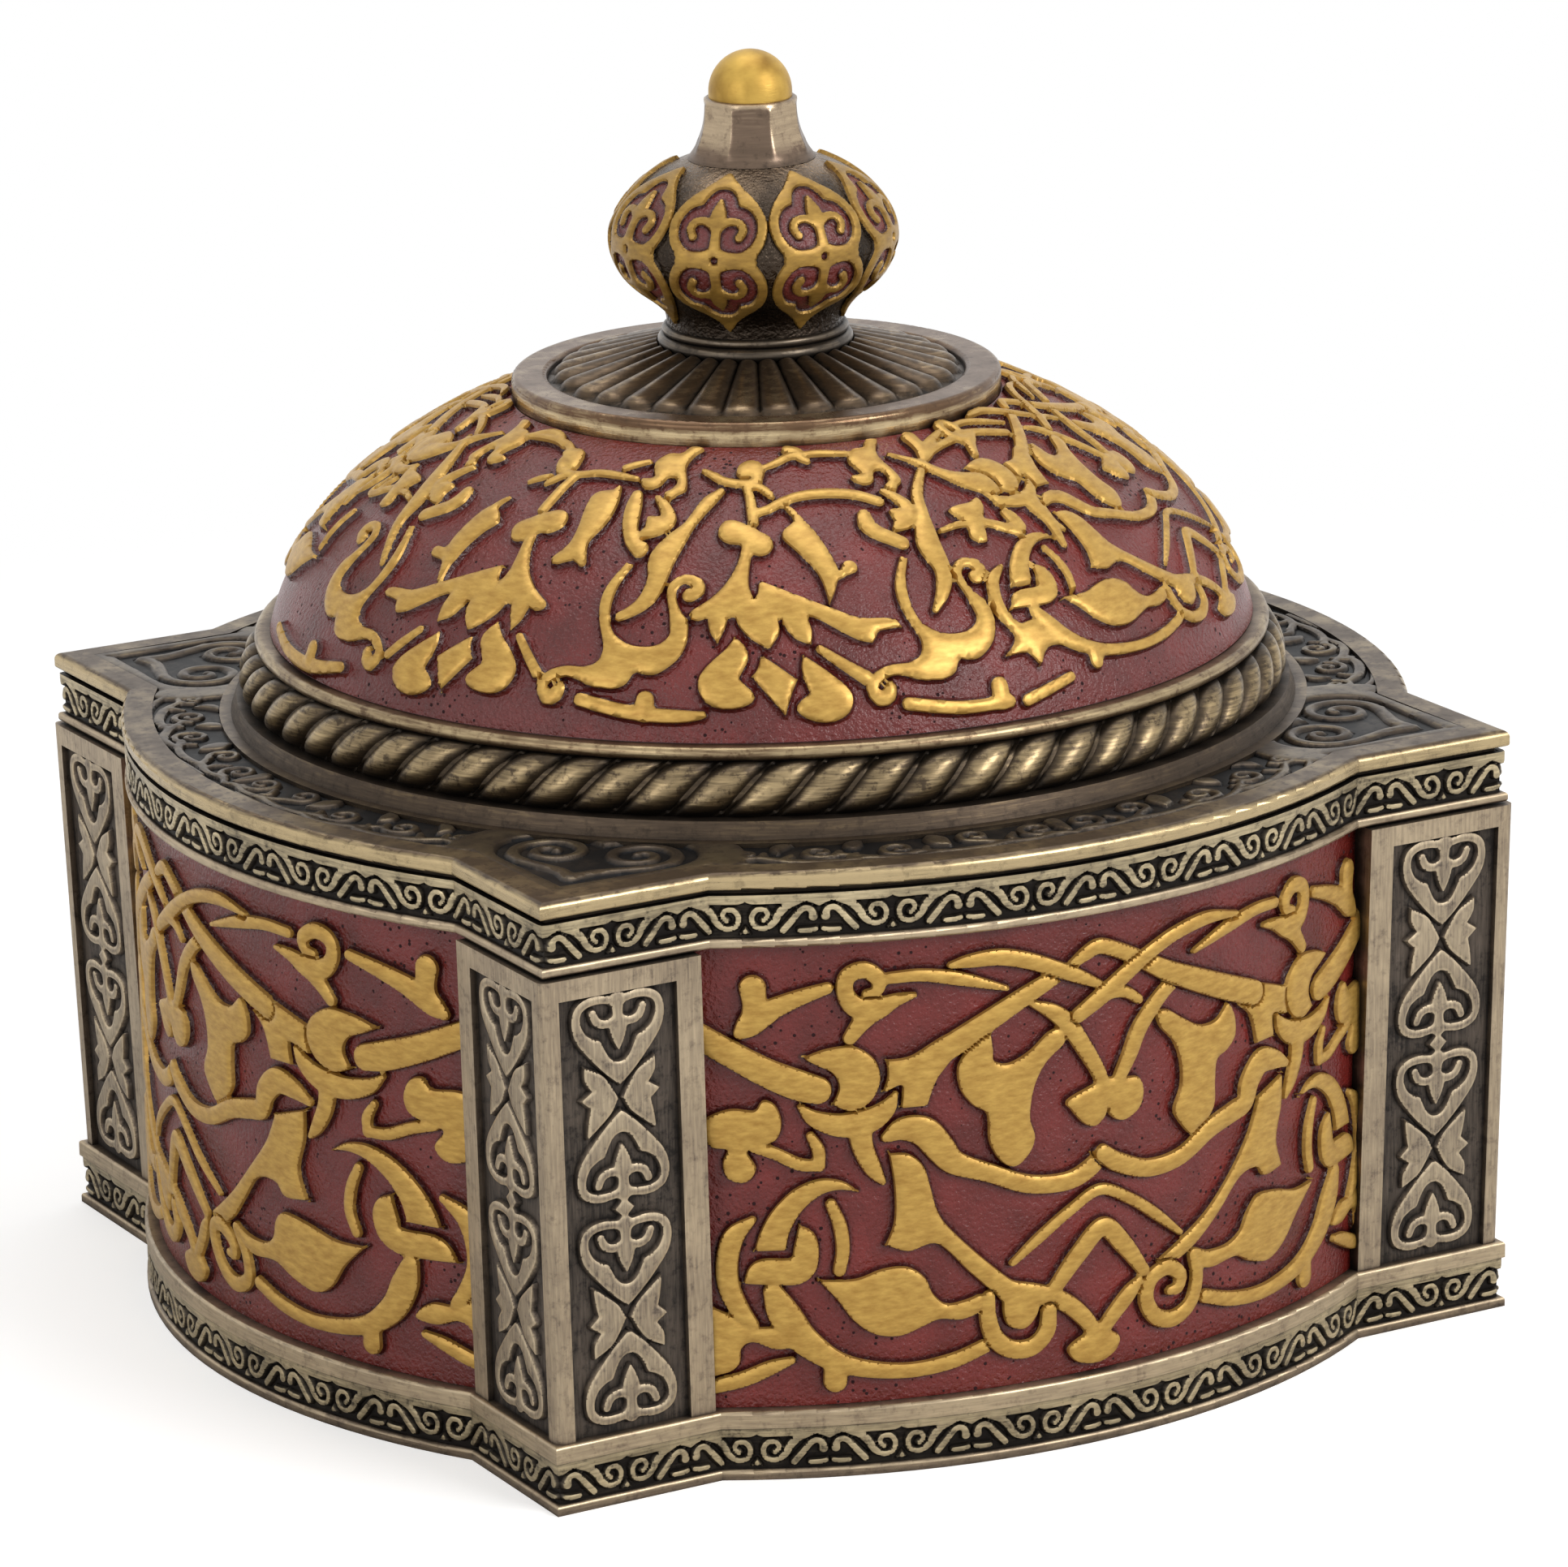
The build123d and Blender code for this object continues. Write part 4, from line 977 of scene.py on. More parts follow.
swan = [
    strap((-8.3, 15.2, 0.55), (-8.6, 12.9, 0.7), (-9.6, 12.1, 0.75), (-10.5, 15.5, 0.48), (-9.4, 19, 0.5),
        (-7.6, 20.6, 0.48), (-5.6, 20, 0.7), (-4, 20, 1.2)),
    leaf((-5.6, 21.5), (-4.5, 22.6), (-3.8, 25.2), (-3.6, 28.5), (-4.1, 32.5), (-4.9, 37.5), (-5.3, 43),
        (-5, 47.5), (-4.1, 52), (-3.2, 55.3, 2), (-2.4, 54.8, 2), (-3.4, 50), (-3.9, 45), (-3.9, 40),
        (-3.4, 35), (-2.1, 31.5), (-0.1, 29.5), (2.4, 29.6), (3.9, 31.8), (4.4, 35), (4.3, 39), (5.8, 39),
        (6.3, 34), (6.1, 30), (5.3, 26), (3.9, 22.8), (2.8, 21.3), (1.6, 21.3), (0.4, 22.2, 2),
        (-0.1, 19.5), (-0.6, 17.6), (-2.1, 16.2), (-4.1, 17), (-5.6, 18.2)),
    strap((5.2, 36, 0.8), (4.7, 39.5, 0.6), (4.2, 42.5, 0.42), (3.75, 46, 0.4), (3.9, 49, 0.45),
        (5.3, 51.3, 0.45), (7, 50, 0.55), (7.2, 47.5, 0.6), (6.2, 46.1, 0.75)),
]
creature = [
    leaf((5.1, 97.4), (2.6, 97.8), (1, 95), (-1.6, 94.6), (-3.4, 91.6), (-3.3, 89.2), (-2.2, 85.2),
        (-4.4, 84.6), (-4.2, 83), (-3.2, 81.5), (-1.6, 81.6), (-0.7, 83.2), (-0.2, 85.4), (1, 86.3),
        (2.1, 85.2), (2.3, 83.2), (1.6, 81), (0.6, 79.7), (1.8, 77.6), (2.8, 79.6), (4, 81), (3.9, 84),
        (3.3, 87), (2.7, 90), (3, 93), (3.9, 95.4)),
    strap((-0.2, 78.2, 0.3), (1, 76.2, 0.5), (2.1, 73.5, 0.65), (2.8, 70.8, 0.7), (2.2, 68.2, 0.8),
        (0.5, 66.2, 0.75), (-0.9, 65, 0.3)),
    leaf((-0.7, 71.2), (1, 71.4), (2.8, 71), (2.4, 68), (0.7, 65.8), (-1, 64.9), (-0.5, 68)),
]
print("shapes in the flower, the swan and the creature:", len(flower), len(swan), len(creature))

# %% [markdown]
# What comes once is drawn where it stands, from left to right: trunks, leaves and buds above the flower,
# and bars with a knob along the foot.

# %% Single sprigs
sprigs = [
    strap((-55, 88.3, 0.4), (-53.3, 89.8, 0.4), (-51, 91.3, 0.25)),
    strap((-84, 93.5, 0.4), (-80.5, 96.4, 0.6), (-77, 96.4, 0.6), (-74.6, 94.6, 0.4), (-72.6, 93, 0.25)),
    leaf((-70.9, 91), (-69, 92.6), (-66.9, 92.6), (-65.7, 90), (-65.1, 86), (-66.4, 85.2), (-68.3, 86.4),
        (-69.6, 88.4)),
    strap((-69.4, 88, 0.35), (-68.2, 85.2, 0.5), (-66.5, 83.8, 0.5), (-63.5, 83.9, 0.42),
        (-59.5, 85.4, 0.45), (-55.5, 85.3, 0.42), (-51.6, 84.6, 0.25)),
    strap((-71.7, 78.6, 0.25), (-70.3, 80.4, 0.38), (-68.6, 81.9, 0.25)),
    leaf((-72.7, 72.4), (-73.8, 70.8), (-74.6, 68.4), (-75.6, 66), (-76.5, 60), (-76.8, 54), (-75.8, 49.5),
        (-74.4, 48.5), (-73.8, 54), (-72.6, 60), (-71.3, 63.5), (-72.4, 66.6), (-73.6, 68.4)),
    strap((-78.3, 50.6, 0.6), (-75.6, 49.6, 0.65), (-74.6, 42.3, 0.25)),
    leaf((-53.9, 81.6), (-54.6, 79.6), (-56.8, 78.7), (-57.8, 76.4), (-57.6, 71.5), (-57.1, 66),
        (-57.2, 60), (-58.8, 54.6), (-57.6, 53.6), (-55.6, 55.4), (-54.2, 53.6), (-53.7, 54.6), (-54.6, 61),
        (-53.6, 66), (-52.9, 70.5), (-52.9, 76)),
    strap((-50.1, 79, 0.5), (-49.8, 75, 0.8), (-49.4, 70.5, 0.85), (-48.8, 66.5, 0.75), (-47.8, 62.6, 0.7),
        (-46.5, 59.6, 0.6)),
    strap((-47.6, 62.4, 0.4), (-46, 61.2, 0.5), (-46.2, 59, 0.5)),
    strap((-35.6, 81.2, 0.35), (-37.4, 77.5, 0.7), (-38.8, 73, 0.6), (-40, 68.5, 0.6), (-41.5, 63.5, 1.1),
        (-42.8, 57.5, 1.4), (-42.9, 51, 1), (-43.7, 44.5, 0.85), (-45.3, 40.6, 0.6), (-46.8, 38.5, 0.45)),
    strap((-39.4, 88.7, 0.25), (-37.4, 87, 0.45), (-35.7, 85.2, 0.5), (-33.5, 84.2, 0.52), (-31, 84, 0.5),
        (-29.2, 84.9, 0.4)),
    leaf((-28.6, 85.6), (-28.1, 89), (-29, 92), (-31, 92.5), (-32.8, 90.6), (-33.1, 88), (-32.2, 86.4),
        (-30.6, 86.6), (-29.8, 84.4)),
    strap((-27.7, 90.1, 0.3), (-25.4, 91.8, 0.42), (-22.8, 94, 0.45), (-19.5, 94.5, 0.4), (-16, 94.6, 0.4),
        (-11, 93.6, 0.3)),
    strap((-22.8, 96.7, 0.6), (-21, 95.7, 0.6), (-20.4, 93, 0.45), (-19.4, 91.8, 0.35)),
    strap((-30, 73, 0.45), (-27.5, 74.6, 0.5), (-25.3, 77, 0.52), (-22, 78.9, 0.58), (-17.5, 79.3, 0.62),
        (-13, 78, 0.62), (-9.4, 74.8, 0.6)),
    leaf((-25, 75.2), (-23.9, 74.6), (-22.2, 70), (-20.9, 66), (-20, 62), (-19.1, 57), (-18.6, 52.6, 2),
        (-18.2, 51, 2), (-19, 50), (-19.6, 46.5), (-20.4, 43.3, 2), (-20.9, 50), (-22, 55), (-23.8, 60),
        (-25.6, 64.4), (-25.4, 67), (-24.4, 68.6), (-23.6, 70.8)),
    strap((-18.5, 51.4, 0.3), (-17.7, 52.4, 0.4), (-17, 53.6, 0.8)),
    strap((-12.6, 70.7, 0.65), (-12.7, 67.4, 0.9), (-11.8, 64.4, 0.9), (-10, 62, 0.85), (-8.6, 60, 0.8)),
    strap((1.4, 83.6, 0.4), (-0.4, 80.2, 0.5), (-2.4, 75, 0.6), (-3.1, 70, 0.6), (-3.9, 65.2, 0.9),
        (-4.7, 58, 1.3), (-4.3, 50, 0.9), (-5.3, 43.5, 0.7), (-7.2, 37.5, 0.25)),
    leaf((-2.8, 92), (0, 89.7), (3, 87), (5.4, 82.8), (8.5, 80.2), (11.6, 78.8), (12.7, 76), (12.4, 71.3),
        (10, 71.6), (7.8, 74), (6.2, 76.7), (4, 81), (1, 86.8), (-1.6, 90.2)),
    strap((3.5, 87.3, 0.25), (6.5, 89.7, 0.42), (10, 91.4, 0.45), (14.5, 92.6, 0.45), (19, 93.6, 0.42),
        (24, 91.8, 0.5), (28.5, 89.3, 0.45)),
    leaf((1.3, 68.4), (3, 69.5), (5.5, 69.7), (7.3, 70.9), (7.4, 68), (6.2, 64.9), (5.5, 62.6), (4.9, 60),
        (4.2, 56.7), (2.6, 57.2), (2.2, 59.6), (3, 62.5), (2.2, 65.6)),
    strap((-1.8, 62.3, 0.25), (1, 63.4, 0.35), (3.5, 63, 0.38), (6, 62.2, 0.42), (8, 59.8, 0.5),
        (10.2, 57.6, 0.5), (11, 58.6, 0.45), (10.3, 61.5, 0.42), (9.9, 64.4, 0.25)),
    strap((10.3, 68, 0.4), (13.5, 67, 0.6), (16.6, 67.6, 0.6), (17, 63, 0.7), (16.5, 56, 0.6),
        (16, 50, 0.3)),
    leaf((13, 80.6), (15.3, 80), (16.6, 77), (16.3, 73), (15, 70.9), (13.8, 71.2), (14.5, 74), (14.2, 78)),
    strap((-50, 12, 0.6), (-44, 9, 0.65), (-38.6, 8.3, 0.6), (-35.8, 8.8, 0.3)),
    strap((-42.4, 13, 0.9), (-42.4, 9.5, 0.95)),
    strap((-12.8, 9.6, 0.6), (-6.8, 6.6, 0.6), (-0.6, 6.2, 0.55)),
    strap((-1.6, 11.5, 0.9), (-1.6, 7, 0.9)),
    strap((1.6, 5.6, 0.55), (8, 10.2, 0.45)),
    strap((-105.6, 8, 0.5), (-99.6, 4.4, 0.6), (-92.4, 4, 0.7), (-85.4, 7.8, 0.5)),
    strap((-92.8, 9.5, 0.85), (-92.8, 5, 0.9)),
    strap((-59.2, 29.5, 0.35), (-55.8, 19, 0.5)),
    strap((-77.6, 16.4, 0.45), (-76.2, 20.4, 0.45), (-73.8, 26.4, 0.35)),
    strap((-22.3, 28.6, 0.35), (-20, 24, 0.5), (-17.3, 18.8, 0.7)),
    strap((-99.6, 86, 0.3), (-95, 77, 0.8), (-91.6, 66, 1.2), (-90.6, 56, 0.7), (-89.2, 50, 0.5),
        (-87.9, 45.5, 0.4), (-87, 42, 0.25)),
]
print("single sprigs:", len(sprigs))

# %% [markdown]
# A flower field has two flowers, mirrored about its axis, and a swan with its creature near the axis and at
# each end. The strapwork field takes the shapes of the panels that fit between two flower fields.

# %% Fields of the dome
FLOWER_AXIS = -47.5


def reach_of(shape):
    """The lowest across and up of a shape, and its highest across."""
    return (*np.min([p[:2] for p in shape[1]], 0), max(p[0] for p in shape[1]))


far_flank = []
for shape in sprigs:
    left, foot, right = reach_of(shape)
    if left > -30 and foot > 40 and right > -13:
        far_flank.append(shape)
flower_field = shifted(flower, -30) + mirrored(shifted(flower, -30), FLOWER_AXIS)
flower_field += shifted(swan, -44.4) + shifted(swan, -6.3) + mirrored(shifted(swan, -5.4), FLOWER_AXIS)
flower_field += shifted(creature, -46) + shifted(creature, -7.6)
flower_field += mirrored(shifted(creature, -7.6), FLOWER_AXIS)
flower_field += sprigs + mirrored(far_flank, FLOWER_AXIS)

strapwork_field = []
for shape in arabesque:
    left, foot, right = reach_of(shape)
    if left > -37.7 and right < 34.6 and (left < 28.5 or foot > 10):
        strapwork_field.append(shape)
strapwork_field += [
    leaf((-37.6, 18.4, 2), (-35.6, 17.3), (-33.7, 17.7), (-32.4, 15.6), (-29.6, 13.2), (-33.2, 13.5),
        (-34.8, 10.8, 2), (-35.9, 13.2), (-38.4, 13.2, 2), (-36.8, 15.5)),
]
print("shapes in the two fields:", len(flower_field), len(strapwork_field))

# %% [markdown]
# Both fields are laid twice, half a turn apart. The coat is one closed ring that lies on the bare CAD dome.

# %% Dome coat
DOME_CELLS_ROUND, DOME_CELLS_UP = 900, 110
FLOWER_WIDTHS = 0.9
STRAPWORK_DEG, STRAPWORK_MIDDLE_MM, STRAPWORK_MM_PER_DEG = 43, 0.8, 0.92
STRAPWORK_FOOT, STRAPWORK_FOOT_MM, STRAPWORK_RATE, STRAPWORK_WIDTHS = 0.128, 9.5, 0.0208, 0.6


def flower_to_dome(turn):
    def move(points):
        points[:, 0] = np.radians(points[:, 0]) + turn
        points[:, 1] = np.interp(points[:, 1] / 100, dome_share, dome_rise)
        points[:, 2:] *= FLOWER_WIDTHS
        return points
    return move


def strapwork_to_dome(turn):
    def move(points):
        degrees = STRAPWORK_DEG + (points[:, 0] - STRAPWORK_MIDDLE_MM) / STRAPWORK_MM_PER_DEG
        points[:, 0] = np.radians(degrees) + turn
        share = STRAPWORK_FOOT + (points[:, 1] - STRAPWORK_FOOT_MM) * STRAPWORK_RATE
        points[:, 1] = np.interp(share, dome_share, dome_rise)
        points[:, 2:] *= STRAPWORK_WIDTHS
        return points
    return move


rise_grid = np.linspace(0, dome_rise[-1], DOME_CELLS_UP + 1)
dome_drawing = Drawing(
    np.linspace(-pi, pi, DOME_CELLS_ROUND, endpoint=False), rise_grid,
    DOME_RADIUS * np.cos(dome_turn(rise_grid))[None, :])
for half_turn in (0, pi):
    for lap in (-2 * pi, 0, 2 * pi):
        dome_drawing.draw(flower_field, flower_to_dome(half_turn + lap))
        dome_drawing.draw(strapwork_field, strapwork_to_dome(half_turn + lap))
dome_coat = body_from("dome_coat", *carve(
    dome_drawing, on_dome, DOME_RELIEF, DOME_COAT_THICKNESS, ring=True, back_rows=12))
finish_piece(dome_coat, "lid", panel_enamel, "red_enamel_resin")

# %% [markdown]
# ## Pillar fields
# Each pillar face has a sunk field with a chain of hearts. The hearts stand point to point, a fleur-de-lis
# sits in each, and winged crosses join them. One heart and half a cross are drawn, and the rest are copies.

# %% Pillar drawing
HEART_SQUEEZE = 0.968
PAIR_TOTAL = 30.2 + 52.2 * HEART_SQUEEZE
CHAIN_TOTAL = 59.6

heart_body = [
    even_leaf((0, 42.4, 2), (1.4, 43.6), (3, 45.4), (4.4, 47.3), (4.9, 49.1), (4.5, 50.6), (3.2, 51.4),
        (1.5, 51.45), (0, 51.1)),
]
heart_lily = [
    strap((0, 46, 0.1), (0, 47.1, 0.6), (0, 48.2, 0.9), (0, 49, 0.55), (0, 50, 0.55), (0, 51, 0.75)),
    strap((0.2, 48.9, 0.4), (1.4, 48.6, 0.4), (2.3, 49, 0.4), (2.7, 49.85, 0.38)),
]
heart_lily += mirrored(heart_lily[1:])
heart_rim = [
    strap((0, 50.7, 0.4), (1.5, 51.1, 0.38), (3.1, 51.05, 0.38), (4.2, 50.4, 0.38), (4.5, 49.1, 0.4),
        (4.1, 47.6, 0.45), (2.85, 46, 0.5), (1.3, 44.4, 0.55), (0, 43.2, 0.5)),
]
heart_rim += mirrored(heart_rim)
wing = [
    leaf((0.3, 41, 2), (1, 42.3), (2, 43.6), (3.8, 44.6, 2), (3.75, 43.2), (3, 42.1, 2), (4.2, 41.3, 2),
        (3.2, 40.4, 2), (3.5, 39.1), (3.7, 37.4, 2), (2.3, 38.5), (1, 39.7)),
]
chain_middle = [even_leaf((0, 30.8, 2), (1, 29.8, 2), (0, 28.8, 2))]


def chain_of(shapes):
    """Shapes of the top heart, as they come in all four hearts of the chain."""
    upper = shapes + upended(shapes, PAIR_TOTAL, HEART_SQUEEZE)
    return upper + upended(upper, CHAIN_TOTAL)


wings = wing + mirrored(wing)
wings += upended(wings, CHAIN_TOTAL)
print("shapes in one chain:", len(chain_of(heart_body + heart_lily + heart_rim) + wings + chain_middle))

# %% [markdown]
# One thin cast slab lies in each field, and the two slabs of a pillar are one piece.

# %% Pillar slabs
FIELD_WIDTH, FIELD_FOOT, FIELD_HEAD, FIELD_DEPTH = 12.7, 7.0, 51.7, 0.8
FIELD_RELIEF, FIELD_THICKNESS, FIELD_SKIN, FIELD_GRID = 0.6, 0.4, 0.12, 0.17
FIELD_MIDDLE_INSET, LILY_GROOVE = 8.25, 1.25


def on_field(across, z, out):
    """A point of the field on the front face of the front left pillar."""
    half = pillar_half(z)
    return np.stack([across + FIELD_MIDDLE_INSET - half, FIELD_DEPTH - FIELD_SKIN - out - half, z], -1)


field_drawing = Drawing(
    even_grid(-FIELD_WIDTH / 2, FIELD_WIDTH / 2, FIELD_GRID), even_grid(FIELD_FOOT, FIELD_HEAD, FIELD_GRID))
field_drawing.draw(chain_of(heart_body))
field_drawing.inlay(chain_of(heart_lily), LILY_GROOVE)
field_drawing.draw(chain_of(heart_rim) + wings + chain_middle)
points, faces, fields = carve(
    field_drawing, on_field, FIELD_RELIEF, FIELD_THICKNESS, rounding=0.2, crown=0.2)
twin = (points[:, [1, 0, 2]], [face[::-1] for face in faces], fields)
field_bronze = old_bronze("field_bronze", "#2b2724", "#6e6257", "#cdba9b", streaks="upright", polish=0.74,
                          roughness=0.42, carved=0.32, rims=0.36)
for quarter, corner_name in enumerate(("front_left", "front_right", "back_right", "back_left")):
    slabs = body_from(f"heart_chain_{corner_name}", *joined([(points, faces, fields), twin]))
    slabs.data.transform(Matrix.Rotation(quarter * pi / 2, 4, "Z"))
    finish_piece(slabs, "box", field_bronze, "antique_bronze_resin")

# %% [markdown]
# ## Motifs that go round
# Rope lobes, gadroons, cartouches and the frieze motif all repeat. One motif is modelled, open where the
# next one will meet it, and a node tree repeats it, turns every copy into real mesh and closes the joins.
# The rings use turned copies.

# %% Turned copies
MERGE_MM = 0.004


def new_tree(name, sockets):
    """A geometry tree with one output and the named inputs."""
    tree = bpy.data.node_groups.new(name, "GeometryNodeTree")
    tree.interface.new_socket("Geometry", in_out="OUTPUT", socket_type="NodeSocketGeometry")
    for label, kind in sockets:
        tree.interface.new_socket(label, in_out="INPUT", socket_type=kind)
    return tree, add(tree, "NodeGroupInput").outputs


def close_tree(tree, geometry, material):
    """Merges the copies where they meet, sets the finish and ends the tree."""
    closed = add(tree, "GeometryNodeMergeByDistance", {"Geometry": geometry, "Distance": MERGE_MM * MM})
    done = add(tree, "GeometryNodeSetMaterial", {"Geometry": closed, "Material": material})
    add(tree, "NodeGroupOutput", {"Geometry": done})
    print("node tree", tree.name, "has", len(tree.nodes), "nodes")
    return tree


def ring_tree():
    """Count copies of a motif, turned about the upright axis."""
    tree, given = new_tree("turned_copies", [
        ("Motif", "NodeSocketObject"), ("Count", "NodeSocketInt"), ("Finish", "NodeSocketMaterial")])
    motif = add(tree, "GeometryNodeObjectInfo", {"Object": given["Motif"]}).outputs["Geometry"]
    points = add(tree, "GeometryNodeMeshLine", {"Count": given["Count"], "Offset": (0, 0, 0)})
    index = add(tree, "GeometryNodeInputIndex")
    lap = add(tree, "ShaderNodeMath", {0: index, 1: 2 * pi}, operation="MULTIPLY")
    angle = add(tree, "ShaderNodeMath", {0: lap, 1: given["Count"]}, operation="DIVIDE")
    euler = add(tree, "ShaderNodeCombineXYZ", {"Z": angle})
    turn = add(tree, "FunctionNodeEulerToRotation", {0: euler})
    copies = add(tree, "GeometryNodeInstanceOnPoints", {
        "Points": points, "Instance": motif, "Rotation": turn})
    solid = add(tree, "GeometryNodeRealizeInstances", {"Geometry": copies})
    return close_tree(tree, solid, given["Finish"])


turned_copies = ring_tree()

# %% [markdown]
# The friezes lay their copies in a row along x. Each point then moves to the place on the path that its x
# has in the whole row, and stands out from the path by its y.

# %% Bent row
def frieze_tree():
    """Repeats a motif in a row and bends the row along a closed path."""
    tree, given = new_tree("bent_row", [
        ("Motif", "NodeSocketObject"), ("Path", "NodeSocketObject"), ("Repeats", "NodeSocketInt"),
        ("Pitch", "NodeSocketFloat"), ("Finish", "NodeSocketMaterial")])
    motif = add(tree, "GeometryNodeObjectInfo", {"Object": given["Motif"]}).outputs["Geometry"]
    path = add(tree, "GeometryNodeObjectInfo", {"Object": given["Path"]}).outputs["Geometry"]
    step = add(tree, "ShaderNodeCombineXYZ", {"X": given["Pitch"]})
    points = add(tree, "GeometryNodeMeshLine", {"Count": given["Repeats"], "Offset": step})
    copies = add(tree, "GeometryNodeInstanceOnPoints", {"Points": points, "Instance": motif})
    row = add(tree, "GeometryNodeRealizeInstances", {"Geometry": copies})
    where = add(tree, "GeometryNodeInputPosition")
    parts = add(tree, "ShaderNodeSeparateXYZ", {0: where}).outputs
    whole = add(tree, "ShaderNodeMath", {0: given["Pitch"], 1: given["Repeats"]}, operation="MULTIPLY")
    share = add(tree, "ShaderNodeMath", {0: parts["X"], 1: whole}, operation="DIVIDE")
    sample = add(tree, "GeometryNodeSampleCurve", {
        "Curves": path, "Factor": share}, use_all_curves=True).outputs
    outward = add(tree, "ShaderNodeVectorMath", {
        0: sample["Tangent"], 1: (0, 0, 1)}, operation="CROSS_PRODUCT")
    proud = add(tree, "ShaderNodeVectorMath", {0: outward, "Scale": parts["Y"]}, operation="SCALE")
    level = add(tree, "ShaderNodeCombineXYZ", {"Z": parts["Z"]})
    side = add(tree, "ShaderNodeVectorMath", {0: sample["Position"], 1: proud}, operation="ADD")
    place = add(tree, "ShaderNodeVectorMath", {0: side, 1: level}, operation="ADD")
    bent = add(tree, "GeometryNodeSetPosition", {"Geometry": row, "Position": place})
    return close_tree(tree, bent, given["Finish"])


bent_row = frieze_tree()

# %% [markdown]
# A carrier object runs a tree. Its result is kept as a plain mesh, and the carrier and the motif go.

# %% Growing a piece
def grow(name, tree, given, used_up):
    """Runs a node tree, keeps its result as a plain mesh object and removes what was used up."""
    carrier = new_object(name + "_carrier", bpy.data.meshes.new(name + "_carrier"))
    modifier = carrier.modifiers.new("grow", "NODES")
    modifier.node_group = tree
    for item in tree.interface.items_tree:
        if item.in_out == "INPUT":
            modifier[item.identifier] = given[item.name]
    depsgraph = bpy.context.evaluated_depsgraph_get()
    mesh = bpy.data.meshes.new_from_object(
        carrier.evaluated_get(depsgraph), preserve_all_data_layers=True, depsgraph=depsgraph)
    mesh.name = name
    mesh.set_sharp_from_angle(angle=SHARP_ANGLE)
    for spent in (carrier, *used_up):
        bpy.data.objects.remove(spent)
    report(name, mesh)
    return new_object(name, mesh)


def go_round(name, motif, count, finish, slot, node):
    """Copies of a motif round the axis, as a piece of the lid that stands for a CAD node."""
    piece = grow(name, turned_copies, {"Motif": motif, "Count": count, "Finish": finish}, [motif])
    finish_piece(piece, "lid", finish, slot, node)


def strip(front, back):
    """A sheet between two grids of points, closed on its long sides and open at both ends."""
    ni, nj = front.shape[:2]
    a = np.arange(ni * nj).reshape(ni, nj)
    b = a + ni * nj
    faces = quads(a[:-1, :-1], a[1:, :-1], a[1:, 1:], a[:-1, 1:])
    faces += quads(b[:-1, :-1], b[:-1, 1:], b[1:, 1:], b[1:, :-1])
    faces += quads(b[:-1, 0], b[1:, 0], a[1:, 0], a[:-1, 0])
    faces += quads(a[:-1, -1], a[1:, -1], b[1:, -1], b[:-1, -1])
    return np.vstack([front.reshape(-1, 3), back.reshape(-1, 3)]), faces


def ring_motif(name, foot, head, angle, share, rise, height, sink):
    """One motif of a ring, on the cone from foot to head, both (radius, height), and raised by its rise."""
    run = head - foot
    outward = np.array([run[1], -run[0]]) / np.hypot(*run)

    def cone(out):
        spot = [foot[k] + run[k] * share + outward[k] * out for k in (0, 1)]
        return around(spot[0], angle, spot[1])

    points, faces = strip(cone(rise * height), cone(np.full_like(rise, -sink)))
    return body_from(name, points, faces, {"rise": np.concatenate([rise.ravel(), 0 * rise.ravel()])})


# %% [markdown]
# ## Rope moulding
# A twisted rope seen from outside shows slanting lobes that lie along the rope at its two edges. A thin
# strand runs between the lobes. Sixty-four lobes go round, and the moulding leans inwards with the ring that
# carries it.

# %% Rope
ROPE_LOBES = 64
ROPE_FOOT, ROPE_HEAD = np.array([52.7, 63.2]), np.array([51.0, 68.5])
ROPE_HEIGHT, ROPE_SINK = 1.95, 0.4
ROPE_LEAN, ROPE_STRAIGHT, ROPE_BOWED = 1.15, 0.55, 0.45
LOBE_ROUNDNESS, STRAND_RISE, STRAND_WIDTH = 0.62, 0.36, 0.09


def rope_lobe():
    u, t = np.meshgrid(np.linspace(-0.5, 0.5, 19), np.linspace(0, 1, 21), indexing="ij")
    bowed = np.arcsin(np.clip(2 * t - 1, -1, 1)) / pi + 0.5
    slant = ROPE_LEAN * (ROPE_STRAIGHT * t + ROPE_BOWED * bowed)
    ends = np.sqrt(np.clip(1 - np.abs(2 * t - 1) ** 2.4, 0, 1))
    half = 0.5 * (0.35 + 0.65 * ends)
    lobe = np.clip(1 - (u / half) ** 2, 0, 1) ** LOBE_ROUNDNESS
    strand = STRAND_RISE * np.exp(-((1 - 2 * np.abs(u)) / STRAND_WIDTH) ** 2)
    rise = (0.3 + 0.7 * np.maximum(lobe, strand)) * ends
    angle = (u + slant - ROPE_LEAN / 2) * 2 * pi / ROPE_LOBES
    return ring_motif("rope_lobe", ROPE_FOOT, ROPE_HEAD, angle, t, rise, ROPE_HEIGHT, ROPE_SINK)


rope_bronze = old_bronze("rope_bronze", "#1d1711", "#4d4030", "#cbb285", polish=0.72, roughness=0.3,
                         carved=0.2)
go_round("rope", rope_lobe(), ROPE_LOBES, rope_bronze, "antique_bronze_resin", "rope_moulding")

# %% [markdown]
# ## Gadroon rosette
# Inside the collar lies a shallow cone of thirty-two petals. Each petal is a rounded bolster, broad at its
# outer end and drawn thin under the finial, with a fine ridge on each side.

# %% Rosette
PETALS = 32
PETAL_OUTER, PETAL_INNER = np.array([21.35, 94.75]), np.array([9.9, 98.0])
PETAL_HEIGHT, PETAL_SINK, PETAL_HALF, PETAL_ROUNDNESS = 1.15, 0.5, 0.49, 0.7


